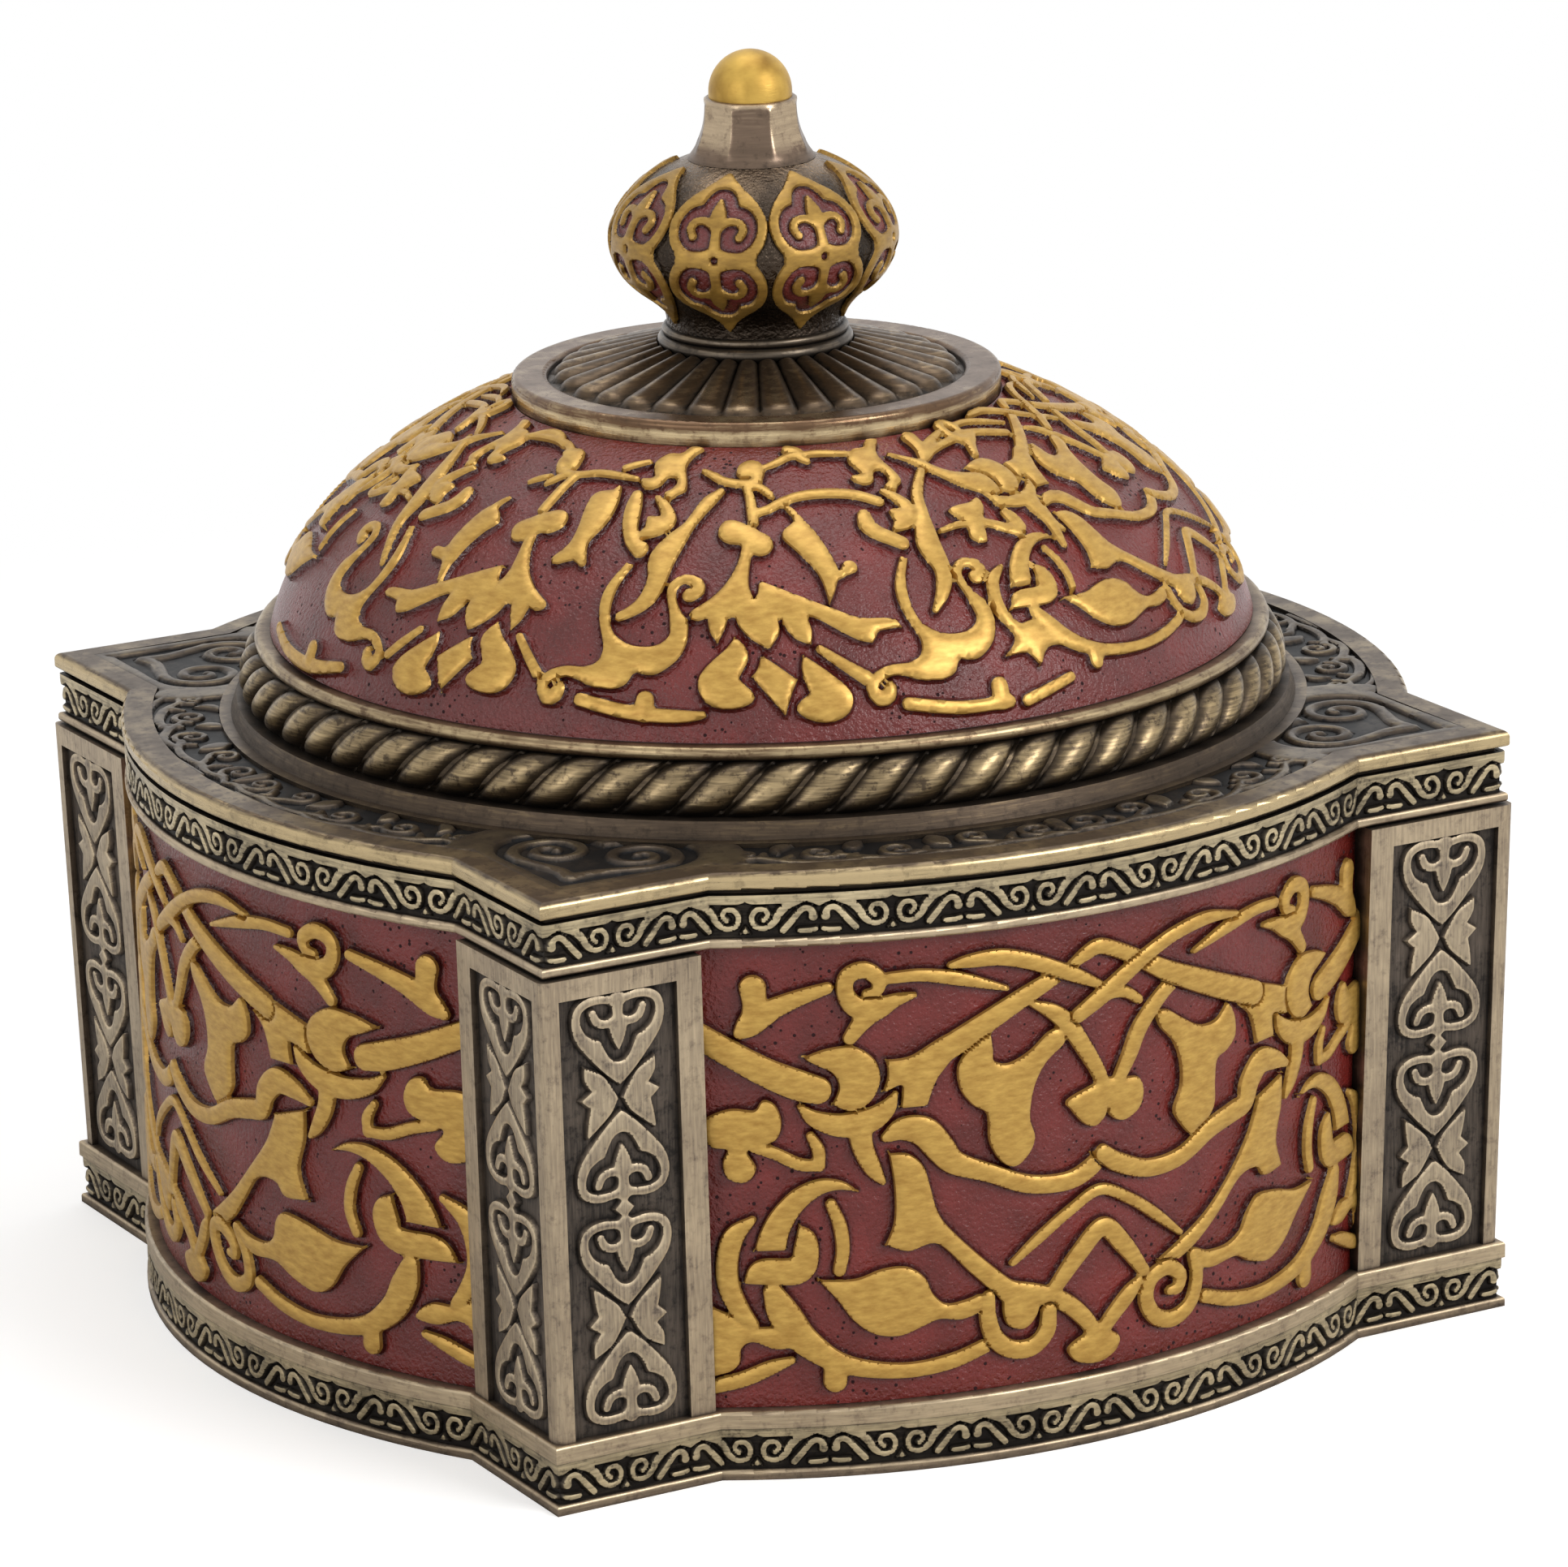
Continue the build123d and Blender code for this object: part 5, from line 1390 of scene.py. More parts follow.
def petal():
    u, t = np.meshgrid(np.linspace(-0.5, 0.5, 23), np.linspace(0, 1, 27) ** 1.3, indexing="ij")
    end = np.clip((0.2 - t) / 0.15, 0, 1.4)
    bolster = np.clip(1 - (u / PETAL_HALF) ** 2 - end**2, 0, 1) ** PETAL_ROUNDNESS
    rise = (0.2 + 0.8 * bolster) * (1 - 0.25 * t)
    angle = u * 2 * pi / PETALS
    return ring_motif("petal", PETAL_OUTER, PETAL_INNER, angle, t, rise, PETAL_HEIGHT, PETAL_SINK)


rosette_bronze = old_bronze("rosette_bronze", "#1a1510", "#5b4a38", "#c9ae86", polish=0.62, roughness=0.24,
                            carved=0.3)
go_round("rosette", petal(), PETALS, rosette_bronze, "antique_bronze_resin", "gadroon_rosette")

# %% [markdown]
# ## Friezes
# The same motif runs round the plinth and round the lid. It has a spade-shaped opening in the middle, a
# scroll with a long diagonal on each side, and half of an M-shaped arch at each end. Thirty-two motifs fill
# the outline, so an arch falls on every corner.

# %% Frieze drawing
FRIEZE_REPEATS, FRIEZE_HEIGHT, FRIEZE_INSET = 32, 4.3, 0.55
FRIEZE_RELIEF, FRIEZE_THICKNESS, FRIEZE_SKIN = 0.46, 0.3, 0.09
FRIEZE_FEET = {"base": 1.0, "lid": 55.0}
ARCH = 7.1

frieze_half = [
    strap((4.5, 3.5, 0.35), (3.4, 2.6, 0.38), (2.7, 1.5, 0.32), (1.75, 0.95, 0.24), (0.85, 1.25, 0.24),
        (0.62, 2.15, 0.24), (1.15, 2.85, 0.24), (1.95, 2.75, 0.23), (2.2, 2.15, 0.22), (1.75, 1.8, 0.25)),
    strap((ARCH - 0.6, 2, 0.42), (ARCH - 0.75, 2.65, 0.28), (ARCH - 1.35, 2.88, 0.27),
        (ARCH - 1.95, 2.5, 0.28), (ARCH - 2.6, 1.7, 0.3), (ARCH - 3.5, 0.7, 0.3)),
    strap((ARCH - 1.9, 0.62, 0.22), (ARCH - 0.9, 0.62, 0.24), (ARCH - 0.35, 0.75, 0.2)),
]
frieze_top = [
    even_leaf((0, 3.7), (0.6, 3.4), (3.9, 3.4), (4.7, 3.15), (5.7, 3.5), (6.5, 3.35), (7.1, 3.05),
        (7.7, 3.35), (8.5, 3.4), (8.5, 5, 2)),
    leaf((-0.4, 0.45, 2), (0.4, 0.45, 2), (0, 1.05, 2)),
]
frieze_drawing = Drawing(np.linspace(-ARCH, ARCH, 81), np.linspace(0, FRIEZE_HEIGHT, 25))
frieze_drawing.draw(frieze_half + mirrored(frieze_half) + frieze_top)
print("raised share of the frieze:", round(float((frieze_drawing.gap < 0).mean()), 2))

# %% [markdown]
# The path is the outline of the box. Twin points beside each corner keep the corner sharp, because the row
# bends only where the path has points.

# %% Frieze path
BOW_STEPS, CORNER_GAP_MM = 48, 0.04


def plan_radius(angle, inset):
    """Distance from the axis to the outline of the box, drawn in by inset."""
    away = np.abs((angle + pi / 4) % (pi / 2) - pi / 4)
    flat = (HALF_SIDE - inset) / np.cos(away)
    middle = -BOW_CENTRE * np.cos(away)
    bow = middle + np.sqrt(middle**2 - BOW_CENTRE**2 + (BOW_RADIUS - inset) ** 2)
    return np.maximum(flat, bow)


def frieze_path(inset):
    """The outline as a closed curve from the front left corner, and the length that each motif gets."""
    edge = HALF_SIDE - inset
    radius = BOW_RADIUS - inset
    meet = sqrt(radius**2 - (edge + BOW_CENTRE) ** 2)
    reach = asin(meet / radius)
    side = [(-edge, -edge), (-edge + CORNER_GAP_MM, -edge), (-meet - CORNER_GAP_MM, -edge)]
    for k in range(BOW_STEPS + 1):
        turn = reach * (2 * k / BOW_STEPS - 1)
        side.append((radius * sin(turn), BOW_CENTRE - radius * cos(turn)))
    side += [(meet + CORNER_GAP_MM, -edge), (edge - CORNER_GAP_MM, -edge)]
    length = sum(np.hypot(b[0] - a[0], b[1] - a[1]) for a, b in zip(side, side[1:] + [(edge, -edge)]))
    curve = bpy.data.curves.new("frieze_path", "CURVE")
    curve.dimensions = "3D"
    spline = curve.splines.new("POLY")
    spline.points.add(4 * len(side) - 1)
    for quarter in range(4):
        for k, (x, y) in enumerate(side):
            for _ in range(quarter):
                x, y = -y, x
            spline.points[quarter * len(side) + k].co = (x * MM, y * MM, 0, 1)
    spline.use_cyclic_u = True
    return new_object("frieze_path", curve), 4 * length / FRIEZE_REPEATS


print("radius of the outline at a bow and at a corner:", plan_radius(np.array([0, pi / 4]), 0).round(2))

# %% [markdown]
# A motif is carved flat at its own height, and the row is bent along a fresh path for each frieze.

# %% Friezes
frieze_bronze = old_bronze("frieze_bronze", "#18130f", "#4a4237", "#ddcaa2", polish=0.8, roughness=0.36,
                           carved=0.05, rims=0.15)
for part_name, foot in FRIEZE_FEET.items():
    path, pitch = frieze_path(FRIEZE_INSET)

    def on_row(across, up, out):
        """Lays the motif in the row: x along the path, y out from it."""
        return np.stack([(across + ARCH) * (pitch / (2 * ARCH)), out + FRIEZE_SKIN, foot + up], -1)

    points, faces, fields = carve(frieze_drawing, on_row, FRIEZE_RELIEF, FRIEZE_THICKNESS, open_ends=True,
                                  rounding=0.2, crown=0.2)
    motif = body_from(f"frieze_motif_{part_name}", points, [face[::-1] for face in faces], fields)
    frieze = grow(f"frieze_{part_name}", bent_row, {
        "Motif": motif, "Path": path, "Repeats": FRIEZE_REPEATS, "Pitch": pitch * MM,
        "Finish": frieze_bronze}, [motif, path])
    finish_piece(frieze, "lid" if part_name == "lid" else "box", frieze_bronze, "antique_bronze_resin")

# %% [markdown]
# ## Finial bulb
# Eight cartouches stand round the bulb. Each is a pair of hearts, lobe to lobe, with a gilt band, a gilt
# fleur-de-lis and red enamel inside, on dark polished bronze. The shape of the bulb is read from its CAD
# node, and the drawing uses a conformal map of it, so the bands keep their width towards the two points.

# %% Bulb map
def turned_profile(node):
    """Radius against height of a turned solid, from its widest points at each height, in mm."""
    spots = points_of(node)
    radius, height = np.hypot(spots[:, 0], spots[:, 1]), spots[:, 2]
    levels = np.unique(height.round(2))
    return levels, np.array([radius[abs(height - level) < 0.02].max() for level in levels])


levels, radii = turned_profile(nodes["finial_bulb"])
bulb_run = np.concatenate([[0], np.cumsum(np.hypot(np.diff(levels), np.diff(radii)))])
fine_run = np.linspace(0, bulb_run[-1], 1500)
fine_z, fine_r = np.interp(fine_run, bulb_run, levels), np.interp(fine_run, bulb_run, radii)
mid_r = (fine_r[1:] + fine_r[:-1]) / 2
bulb_rise = np.concatenate([[0], np.cumsum(np.diff(fine_run) / mid_r)])
print("bulb: height", levels[[0, -1]], "widest", radii.max(), "run", round(bulb_run[-1], 2))


def on_bulb(angle, rise, out):
    """A point of the bulb: angle runs round, and rise is the conformal height."""
    z, r = np.interp(rise, bulb_rise, fine_z), np.interp(rise, bulb_rise, fine_r)
    dz = np.interp(rise, bulb_rise, np.gradient(fine_z, fine_run))
    dr = np.interp(rise, bulb_rise, np.gradient(fine_r, fine_run))
    length = np.hypot(dz, dr)
    return around(r + dz / length * out, angle, z - dr / length * out)


# %% [markdown]
# The upper heart is drawn in mm from the middle of the cartouche and turned upside down for the lower one.
# The bed keeps the outline of the cartouche, and tells the finish where enamel ends and bronze begins.

# %% Bulb drawing
CARTOUCHES, CARTOUCHE_SCALE = 8, 1.09
LILY_BED = 1.5

cartouche_body = [
    even_leaf((0, 9.6, 2), (0.7, 8.5), (1.9, 7.1), (3.2, 5.7), (4.2, 4.2), (4.6, 2.8), (4.4, 1.4),
        (3.8, 0.4), (3.6, 0), (0, -1)),
]
cartouche_lily = [
    strap((0, 0.9, 0.5), (0, 2.2, 0.4), (0, 3, 0.48), (0, 4.1, 0.75), (0, 5, 0.5), (0, 6, 0.1)),
    strap((0.3, 3.2, 0.38), (1.2, 3.7, 0.34), (2.1, 3.5, 0.34), (2.5, 2.8, 0.34), (2.2, 2.1, 0.34)),
]
cartouche_lily += mirrored(cartouche_lily[1:])
cartouche_rim = [
    strap((0, 9.1, 0.34), (0.6, 8.2, 0.36), (1.7, 6.85, 0.36), (2.9, 5.5, 0.36), (3.85, 4.1, 0.36),
        (4.2, 2.8, 0.36), (4, 1.6, 0.38), (3.2, 0.65, 0.38), (2.3, 0.3, 0.4), (1.2, 0.3, 0.45),
        (0, 0.6, 0.55)),
]
cartouche_rim += mirrored(cartouche_rim)
cartouche_eye = [knob(0, 0, 0.45)]
belly = bulb_rise[np.argmax(fine_r)] + 0.02


def to_bulb(points):
    """From mm about the middle of the cartouche to the map of the bulb."""
    run = np.interp(belly, bulb_rise, fine_run) + points[:, 1] * CARTOUCHE_SCALE
    points[:, 0] = points[:, 0] * CARTOUCHE_SCALE / np.interp(run, fine_run, fine_r)
    points[:, 1] = np.interp(run, fine_run, bulb_rise)
    return points


def bulb_drawing_of(shapes):
    """A drawing on one sector of the bulb."""
    heights = np.linspace(0, bulb_rise[-1], 129)
    sector = np.linspace(-pi / CARTOUCHES, pi / CARTOUCHES, 73)
    drawing = Drawing(sector, heights, np.interp(heights, bulb_rise, fine_r)[None, :])
    drawing.draw(shapes, to_bulb)
    return drawing


bulb_drawing = bulb_drawing_of(cartouche_body + upended(cartouche_body, 0))
bulb_drawing.marks["bed"] = bulb_drawing.gap.copy()
bulb_drawing.inlay(cartouche_lily + upended(cartouche_lily, 0), LILY_BED, to_bulb)
bulb_drawing.draw(cartouche_rim + upended(cartouche_rim, 0), to_bulb)
bulb_drawing.gap = np.maximum(bulb_drawing.gap, -bulb_drawing_of(cartouche_eye).gap)
print("raised share of the bulb:", round(float((bulb_drawing.gap < 0).mean()), 2))

# %% Bulb
BULB_RELIEF, BULB_SINK = 0.42, 0.6

bulb_enamel = gilded_enamel(
    "bulb_enamel", ("#5e1f1e", "#7d3331"), "#2e0c0b", ("#84632a", "#bb9445"), pits=False,
    bronze=("#26211d", "#453b32", "#8b7660"))
cartouche = body_from("cartouche", *carve(
    bulb_drawing, on_bulb, BULB_RELIEF, BULB_SINK, open_ends=True, rounding=0.15, crown=0.15))
go_round("bulb", cartouche, CARTOUCHES, bulb_enamel, "red_enamel_resin", "finial_bulb")

# %% [markdown]
# ## Neck
# The neck is an octagon with soft edges. Its facets fade into a round flare where it meets the bulb, and into
# a round rim under the cap. It is a stack of rings between a circle and a rounded octagon. Every other facet
# is painted darker, as painted shade.

# %% Neck
NECK_SIDES, NECK_TURN = 8, radians(16)
NECK_FOOT, NECK_HEAD, NECK_FLARE_POWER = 6.4, 4.65, 2.8
NECK_CORNER, NECK_ROUND = 1.07, 1.02
NECK_RIM_START, NECK_RIM_SHARE, NECK_RIM_ROUNDING = 0.965, 0.035, 0.25


def smooth_step(low, high, value):
    share = np.clip((value - low) / (high - low), 0, 1)
    return share * share * (3 - 2 * share)


neck_heights = points_of(nodes["finial_neck"])[:, 2]
around_grid = np.linspace(0, 2 * pi, 192, endpoint=False)
turn_grid, climb = np.meshgrid(around_grid, np.linspace(0, 1, 41), indexing="ij")
side_turn = 2 * pi / NECK_SIDES
away = (turn_grid - NECK_TURN + pi / NECK_SIDES) % side_turn - pi / NECK_SIDES
share_flat = smooth_step(0.05, 0.25, climb) * (1 - smooth_step(0.88, 0.96, climb))
facet = np.minimum(1 / np.cos(away), NECK_CORNER)
apothem = NECK_HEAD + (NECK_FOOT - NECK_HEAD) * (1 - climb) ** NECK_FLARE_POWER
neck_radius = apothem * (NECK_ROUND + (facet - NECK_ROUND) * share_flat)
neck_radius -= NECK_RIM_ROUNDING * np.clip((climb - NECK_RIM_START) / NECK_RIM_SHARE, 0, 1) ** 2
neck_points = around(neck_radius, turn_grid, neck_heights.min() + climb * np.ptp(neck_heights))
number = np.arange(climb.size).reshape(climb.shape)
after = np.roll(number, -1, 0)
faces = quads(number[:, :-1], after[:, :-1], after[:, 1:], number[:, 1:])
faces += [number[::-1, 0].tolist(), number[:, -1].tolist()]
# Painted shade: every other facet of the neck is darker.
painted_facet_light = 1 - share_flat * (np.floor((turn_grid - NECK_TURN) / side_turn + 0.5) % 2)
neck = body_from("neck", neck_points.reshape(-1, 3), faces, {"rise": painted_facet_light.ravel()})
finish_piece(neck, "lid", neck_bronze, "antique_bronze_resin", "finial_neck")

# %% [markdown]
# ## Scrollwork of the lid plate
# The sunk field of the plate is one ring between the rope seat and the border. In each corner it is filled
# to the level of the plate, and a heart-shaped recess in the filling holds a raised double volute. Along
# each bow runs low foliage: a row of volutes on one wavy stem. A volute is drawn by a formula. Corners are
# drawn along and across their diagonal, and bows in the plan of the box, with the front bow at the foot.

# %% Plate drawing
STEM_WIDTHS = 1.35


def volute(x, y, radius, start, turns, half=0.3, last=0.25):
    """A spiral strap that begins at the angle start, in degrees, and winds inwards."""
    steps = max(8, int(turns * 14))
    points = []
    for k in range(steps + 1):
        share = k / steps
        angle = radians(start) + turns * 2 * pi * share
        reach = radius * (1 - share) ** 0.85 + last * share
        points.append((x + reach * cos(angle), y + reach * sin(angle), half * (1 - 0.35 * share)))
    return strap(*points)


corner_volute = [
    strap((67.9, 0, 0.7), (66, 1.7, 0.6), (64.6, 4.2, 0.55), (63.4, 6.4, 0.55)),
    volute(59.8, 4.35, 4.1, 28, 1.55, 0.55, 0.5),
]
corner_volute += upended(corner_volute, 0)
corner_patch = [
    leaf((53.2, -11.8, 2), (57.5, -14.4), (61.5, -14.6), (61.9, -11.9, 2), (67.8, -6), (74.5, 0, 2),
        (67.8, 6), (61.9, 11.9, 2), (61.5, 14.6), (57.5, 14.4), (53.2, 11.8, 2), (53.2, 0)),
]
corner_heart = [
    leaf((71.4, 0, 2), (66.6, 5), (62.6, 9.1), (59.4, 10.1), (56.4, 9), (54.9, 6.2), (55.2, 2.8),
        (56.9, 0, 2), (55.2, -2.8), (54.9, -6.2), (56.4, -9), (59.4, -10.1), (62.6, -9.1), (66.6, -5)),
]
bow_half = [
    volute(2.7, -58.6, 2, 250, 1.3, 0.28),
    strap((0, -61.6, 0.2), (1.6, -60.9, 0.3), (4.4, -61.3, 0.28), (7.2, -60.6, 0.3), (9.2, -58.9, 0.28)),
    volute(8.9, -57.2, 1.75, 280, 1.2, 0.26),
    strap((6.9, -60.7, 0.3), (10.5, -60.9, 0.35), (13.6, -60.2, 0.3), (16.4, -58.6, 0.28)),
    volute(17.2, -57, 2, 235, 1.35, 0.28),
    strap((14.3, -60, 0.25), (17.8, -59.9, 0.4), (20.8, -58, 0.35), (23, -55.2, 0.25)),
    volute(24.2, -53.9, 1.9, 205, 1.3, 0.27),
    strap((21, -57.9, 0.25), (24.6, -57.3, 0.4), (28, -55.1, 0.38), (30, -52.4, 0.25)),
    volute(30.4, -50.9, 1.55, 200, 1.2, 0.25),
    leaf((12.2, -58.6, 2), (13.4, -57.6), (13.6, -55.7), (12.6, -54.6, 2), (11.5, -56.2)),
    leaf((20.9, -54.9, 2), (21.2, -53.4), (20.2, -52.4), (18.8, -52.6, 2), (19.6, -54)),
    leaf((27.6, -51.9, 2), (27.6, -50.3), (26.4, -49.6), (25.2, -50.2, 2), (26.6, -51)),
    strap((0, -57.2, 0.55), (0, -58.8, 0.4), (0, -60.4, 0.15)),
    strap((3.9, -62.2, 0.2), (7.2, -62.1, 0.28), (10.4, -61.9, 0.2)),
    strap((27.6, -57.2, 0.2), (31, -55, 0.3), (32.9, -52.4, 0.2)),
    strap((5.2, -58.4, 0.2), (6.2, -59.6, 0.3), (5.9, -60.7, 0.2)),
    strap((14.6, -57.9, 0.2), (15.2, -59, 0.3), (14.3, -59.9, 0.2)),
    strap((10.9, -62.1, 0.2), (14.4, -61.7, 0.3), (18.2, -60.9, 0.3), (21.6, -59.7, 0.2)),
    strap((21.4, -56.2, 0.2), (22.6, -57.2, 0.3), (22.2, -58.2, 0.2)),
    strap((27, -53.4, 0.2), (28.2, -54.2, 0.3), (28.2, -55.2, 0.2)),
    strap((22.6, -59.6, 0.2), (25.4, -58.6, 0.28), (27.2, -57.6, 0.2)),
]
print("shapes along one bow:", 2 * len(bow_half))

# %% [markdown]
# The grid of the ring lies in the plan of the box, in mm. The shapes are turned to each corner and each bow.

# %% Plate scrollwork
PLATE_FLOOR, FIELD_START_RADIUS, FIELD_END_INSET = 61.0, 55.6, 2.75
SCROLL_RELIEF, SCROLL_THICKNESS, SCROLL_SKIN = 0.42, 0.3, 0.08


def in_corner(points):
    """From along and across the diagonal to the corner on the right of the front."""
    a, b = points[:, 0].copy(), points[:, 1].copy()
    points[:, 0], points[:, 1] = (a + b) / sqrt(2), (b - a) / sqrt(2)
    return points


def thickened(points):
    """Foliage with its stems a little thicker than drawn."""
    points[:, 2:] *= STEM_WIDTHS
    return points


def turned(quarter, first):
    """Turns points by quarters of a lap, after another move."""
    def move(points):
        points = first(points)
        for _ in range(quarter):
            points[:, 0], points[:, 1] = -points[:, 1].copy(), points[:, 0].copy()
        return points
    return move


def on_plate(angle, share, out):
    """A point of the sunk ring: share runs from the rope seat to the border."""
    radius = FIELD_START_RADIUS + share * (plan_radius(angle, FIELD_END_INSET) - FIELD_START_RADIUS)
    return around(radius, angle, PLATE_FLOOR + SCROLL_SKIN + out)


def plate_grid():
    """An empty drawing whose points lie on the plan of the plate."""
    drawing = Drawing(np.linspace(-pi, pi, 1600, endpoint=False), np.linspace(0, 1, 49))
    flat = on_plate(drawing.across, drawing.up, 0 * drawing.gap)
    ring = drawing.across, drawing.up
    drawing.across, drawing.up = flat[..., 0], flat[..., 1]
    return drawing, ring


plate_drawing, ring = plate_grid()
recess_drawing = plate_grid()[0]
for quarter in range(4):
    plate_drawing.draw(corner_patch, turned(quarter, in_corner))
    recess_drawing.draw(corner_heart, turned(quarter, in_corner))
plate_drawing.gap = np.maximum(plate_drawing.gap, -recess_drawing.gap)
for quarter in range(4):
    plate_drawing.draw(corner_volute, turned(quarter, in_corner))
    plate_drawing.draw(bow_half + mirrored(bow_half), turned(quarter, thickened))
plate_drawing.across, plate_drawing.up = ring
scroll_bronze = old_bronze("scroll_bronze", "#0d0d0f", "#4b4035", "#998868", polish=0.6, roughness=0.28,
                           carved=0.02, rims=0.2)
scrollwork = body_from("plate_scrollwork", *carve(
    plate_drawing, on_plate, SCROLL_RELIEF, SCROLL_THICKNESS, ring=True, rounding=0.35, crown=0.25))
finish_piece(scrollwork, "lid", scroll_bronze, "antique_bronze_resin")

# %% [markdown]
# ## Felts
# A sheet of felt is glued under the box so that it doesn't scratch the table, and another lines the floor
# inside. Felt is pressed wool: a soft, slightly uneven sheet with a blunt edge and no weave. The eye gets a
# matt, cloudy surface with short fibres and a faint sheen along its edge.

# %% Wool felt
def wool_felt(name, dark, light):
    """Pressed wool: matt, with a cloudy tone, short fibres and a soft sheen at grazing angles."""
    material, tree, place = new_material(name)
    cloud = add(tree, "ShaderNodeTexNoise", {
        "Vector": place, "Scale": 1 / (6 * MM), "Detail": 5, "Roughness": 0.6})
    fibre = add(tree, "ShaderNodeTexNoise", {
        "Vector": place, "Scale": 1 / (0.35 * MM), "Detail": 4, "Roughness": 0.7, "Distortion": 1.5})
    tone = add(tree, "ShaderNodeMath", {0: cloud, 1: 0.5, 2: fibre}, operation="MULTIPLY_ADD")
    wool = add(tree, "ShaderNodeValToRGB", {"Fac": tone}, [(0.45, dark), (1, light)])
    nap = add(tree, "ShaderNodeMapRange", {"Value": fibre, "To Min": 0.8, "To Max": 1.0})
    bump = add(tree, "ShaderNodeBump", {"Height": fibre, "Strength": 0.6, "Distance": 0.2 * MM})
    skin = add(tree, "ShaderNodeBsdfPrincipled", {
        "Base Color": wool, "Roughness": nap, "Sheen Weight": 0.4, "Sheen Roughness": 0.5, "Normal": bump})
    add(tree, "ShaderNodeOutputMaterial", {"Surface": skin})
    return material


black_felt = wool_felt("black_felt", "#121212", "#2c2b2a")
wine_felt = wool_felt("wine_felt", "#2c0c10", "#571f25")
print("felts:", black_felt.name, wine_felt.name)

# %% [markdown]
# Each sheet takes its outline and thickness from its CAD node. Its area is the area inside that outline.

# %% Felt sheets
FELT_WAVE, FELT_BLUNT = 0.06, 0.25
FELT_POINTS_ROUND, FELT_RINGS = 720, 17


def felt_sheet(name, node, finish):
    """A sheet with the outline and thickness of its CAD node, slightly uneven and blunt at the edge."""
    spots = points_of(node)
    low, high = spots.min(0), spots.max(0)
    angle = np.linspace(0, 2 * pi, FELT_POINTS_ROUND, endpoint=False)[:, None]
    share = np.sin(np.linspace(0, pi / 2, FELT_RINGS + 1))[None, 1:]
    radius = plan_radius(angle, HALF_SIDE + BOW_RISE - high[0]) * share
    x, y = radius * np.sin(angle), -radius * np.cos(angle)
    ripple = np.sin(x * 0.9 + 0.4 * y) * np.sin(y * 1.1 - 0.3 * x) + 0.5 * np.sin(2.3 * x + 1.7 * y) - 0.8
    blunt = FELT_BLUNT * np.clip(1 - (radius[:, -1:] - radius) / 0.4, 0, 1) ** 2
    top = np.stack([x, y, high[2] + FELT_WAVE * ripple * 0.5 - blunt], -1)
    under = np.stack([x, y, low[2] + blunt * 0.6], -1)
    points = np.vstack([top.reshape(-1, 3), under.reshape(-1, 3), [(0, 0, high[2] - 0.03)], [(0, 0, low[2])]])
    below = x.size
    number = np.arange(below).reshape(x.shape)
    after = np.roll(number, -1, 0)
    faces = quads(number[:, :-1], number[:, 1:], after[:, 1:], after[:, :-1])
    faces += quads(*[grid + below for grid in (number[:, :-1], after[:, :-1], after[:, 1:], number[:, 1:])])
    faces += quads(number[:, -1], number[:, -1] + below, after[:, -1] + below, after[:, -1])
    inmost = list(zip(number[:, 0].tolist(), after[:, 0].tolist()))
    faces += [[2 * below, a, b] for a, b in inmost]
    faces += [[2 * below + 1, b + below, a + below] for a, b in inmost]
    sheet = body_from(name, points, faces)
    finish_piece(sheet, "box", finish, "felt", node.name)


felt_sheet("underside_felt", nodes["base_felt"], black_felt)
felt_sheet("inside_felt", nodes["floor_lining"], wine_felt)

# %% [markdown]
# ## Floor, light and background
# The box stands on a plain pale floor under soft studio light. The floor is matt paper that fades out into
# the white background, and keeps the soft shadow of the box.

# %% Floor
FLOOR_HALF, FADE_FROM, FADE_TO = 0.6, 0.13, 0.34

floor_mesh = bpy.data.meshes.new("studio_floor")
corners = [(x * FLOOR_HALF, y * FLOOR_HALF, 0) for x, y in ((-1, -1), (1, -1), (1, 1), (-1, 1))]
floor_mesh.from_pydata(corners, [], [(0, 1, 2, 3)])
studio_floor = new_object("studio_floor", floor_mesh)
floor_paper, tree, place = new_material("floor_paper")
distance = add(tree, "ShaderNodeVectorMath", {0: place}, operation="LENGTH").outputs["Value"]
fade = add(tree, "ShaderNodeMapRange", {
    "Value": distance, "From Min": FADE_FROM, "From Max": FADE_TO}, interpolation_type="SMOOTHSTEP")
paper = add(tree, "ShaderNodeBsdfDiffuse", {"Color": colour("#f4f4f4")})
seen = add(tree, "ShaderNodeLightPath").outputs["Is Camera Ray"]
lift = add(tree, "ShaderNodeMath", {0: seen, 1: 0.5}, operation="MULTIPLY")
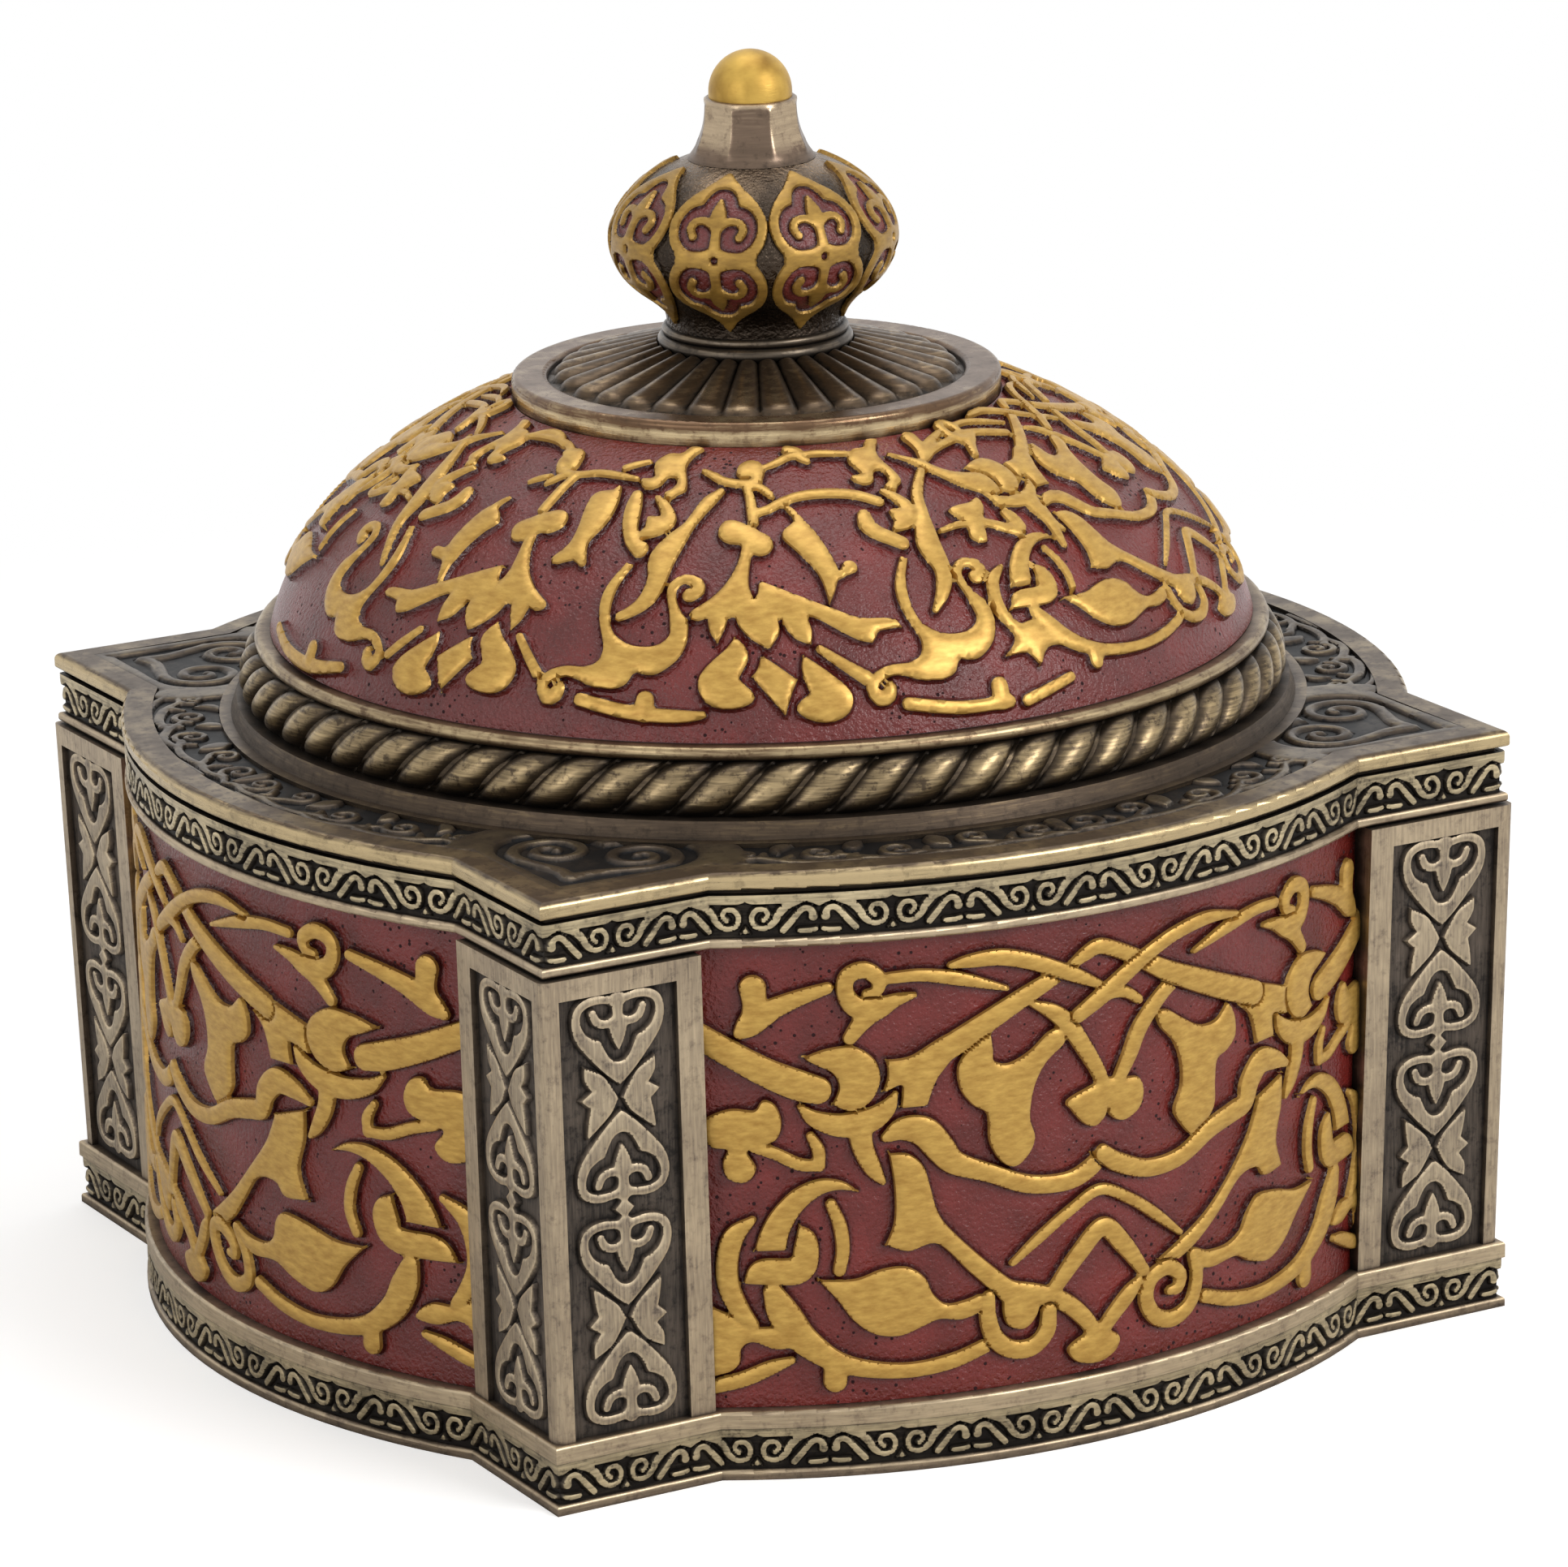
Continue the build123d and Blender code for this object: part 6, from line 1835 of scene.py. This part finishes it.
glow = add(tree, "ShaderNodeEmission", {"Color": (1, 1, 1, 1), "Strength": lift})
lit = add(tree, "ShaderNodeAddShader", {0: paper, 1: glow})
clear = add(tree, "ShaderNodeBsdfTransparent")
both = add(tree, "ShaderNodeMixShader", {0: fade, 1: lit, 2: clear})
add(tree, "ShaderNodeOutputMaterial", {"Surface": both})
floor_mesh.materials.append(floor_paper)
print("floor, mm:", [round(2 * FLOOR_HALF / MM)] * 2)

# %% [markdown]
# The background is white for the camera, for reflections and for what is seen through glass. The light that
# it casts is much weaker, so that the colours stay true.

# %% World
AMBIENT = 0.34

world = bpy.data.worlds.new("white_studio")
bpy.context.scene.world = world
world.use_nodes = True
tree = world.node_tree
tree.nodes.clear()
rays = add(tree, "ShaderNodeLightPath").outputs
seen = add(tree, "ShaderNodeMath", {0: rays["Is Camera Ray"], 1: rays["Is Glossy Ray"]}, operation="MAXIMUM")
seen = add(tree, "ShaderNodeMath", {0: seen, 1: rays["Is Transmission Ray"]}, operation="MAXIMUM")
strength = add(tree, "ShaderNodeMapRange", {"Value": seen, "To Min": AMBIENT, "To Max": 1.0})
sky = add(tree, "ShaderNodeBackground", {"Color": (1, 1, 1, 1), "Strength": strength})
add(tree, "ShaderNodeOutputWorld", {"Surface": sky})
print("ambient light:", AMBIENT)

# %% [markdown]
# Three soft boxes light the box: a large one in front on the right, a weaker one on the left and one above.

# %% Lamps
LAMPS_AIM = Vector((0, 0, 0.06))


def soft_box(name, place, size, watts):
    """A square soft box that faces the middle of the box."""
    lamp = bpy.data.lights.new(name, "AREA")
    lamp.size = size
    lamp.energy = watts
    holder = new_object(name, lamp)
    holder.location = place
    holder.rotation_mode = "QUATERNION"
    holder.rotation_quaternion = (LAMPS_AIM - Vector(place)).to_track_quat("-Z", "Y")


soft_box("key_soft_box", (0.35, -0.75, 0.55), 0.45, 4.4)
soft_box("fill_soft_box", (-0.85, -0.35, 0.35), 0.5, 1.4)
soft_box("top_soft_box", (0.1, 0.15, 0.95), 0.6, 2.3)
print("lamps:", [light.name for light in bpy.data.lights])
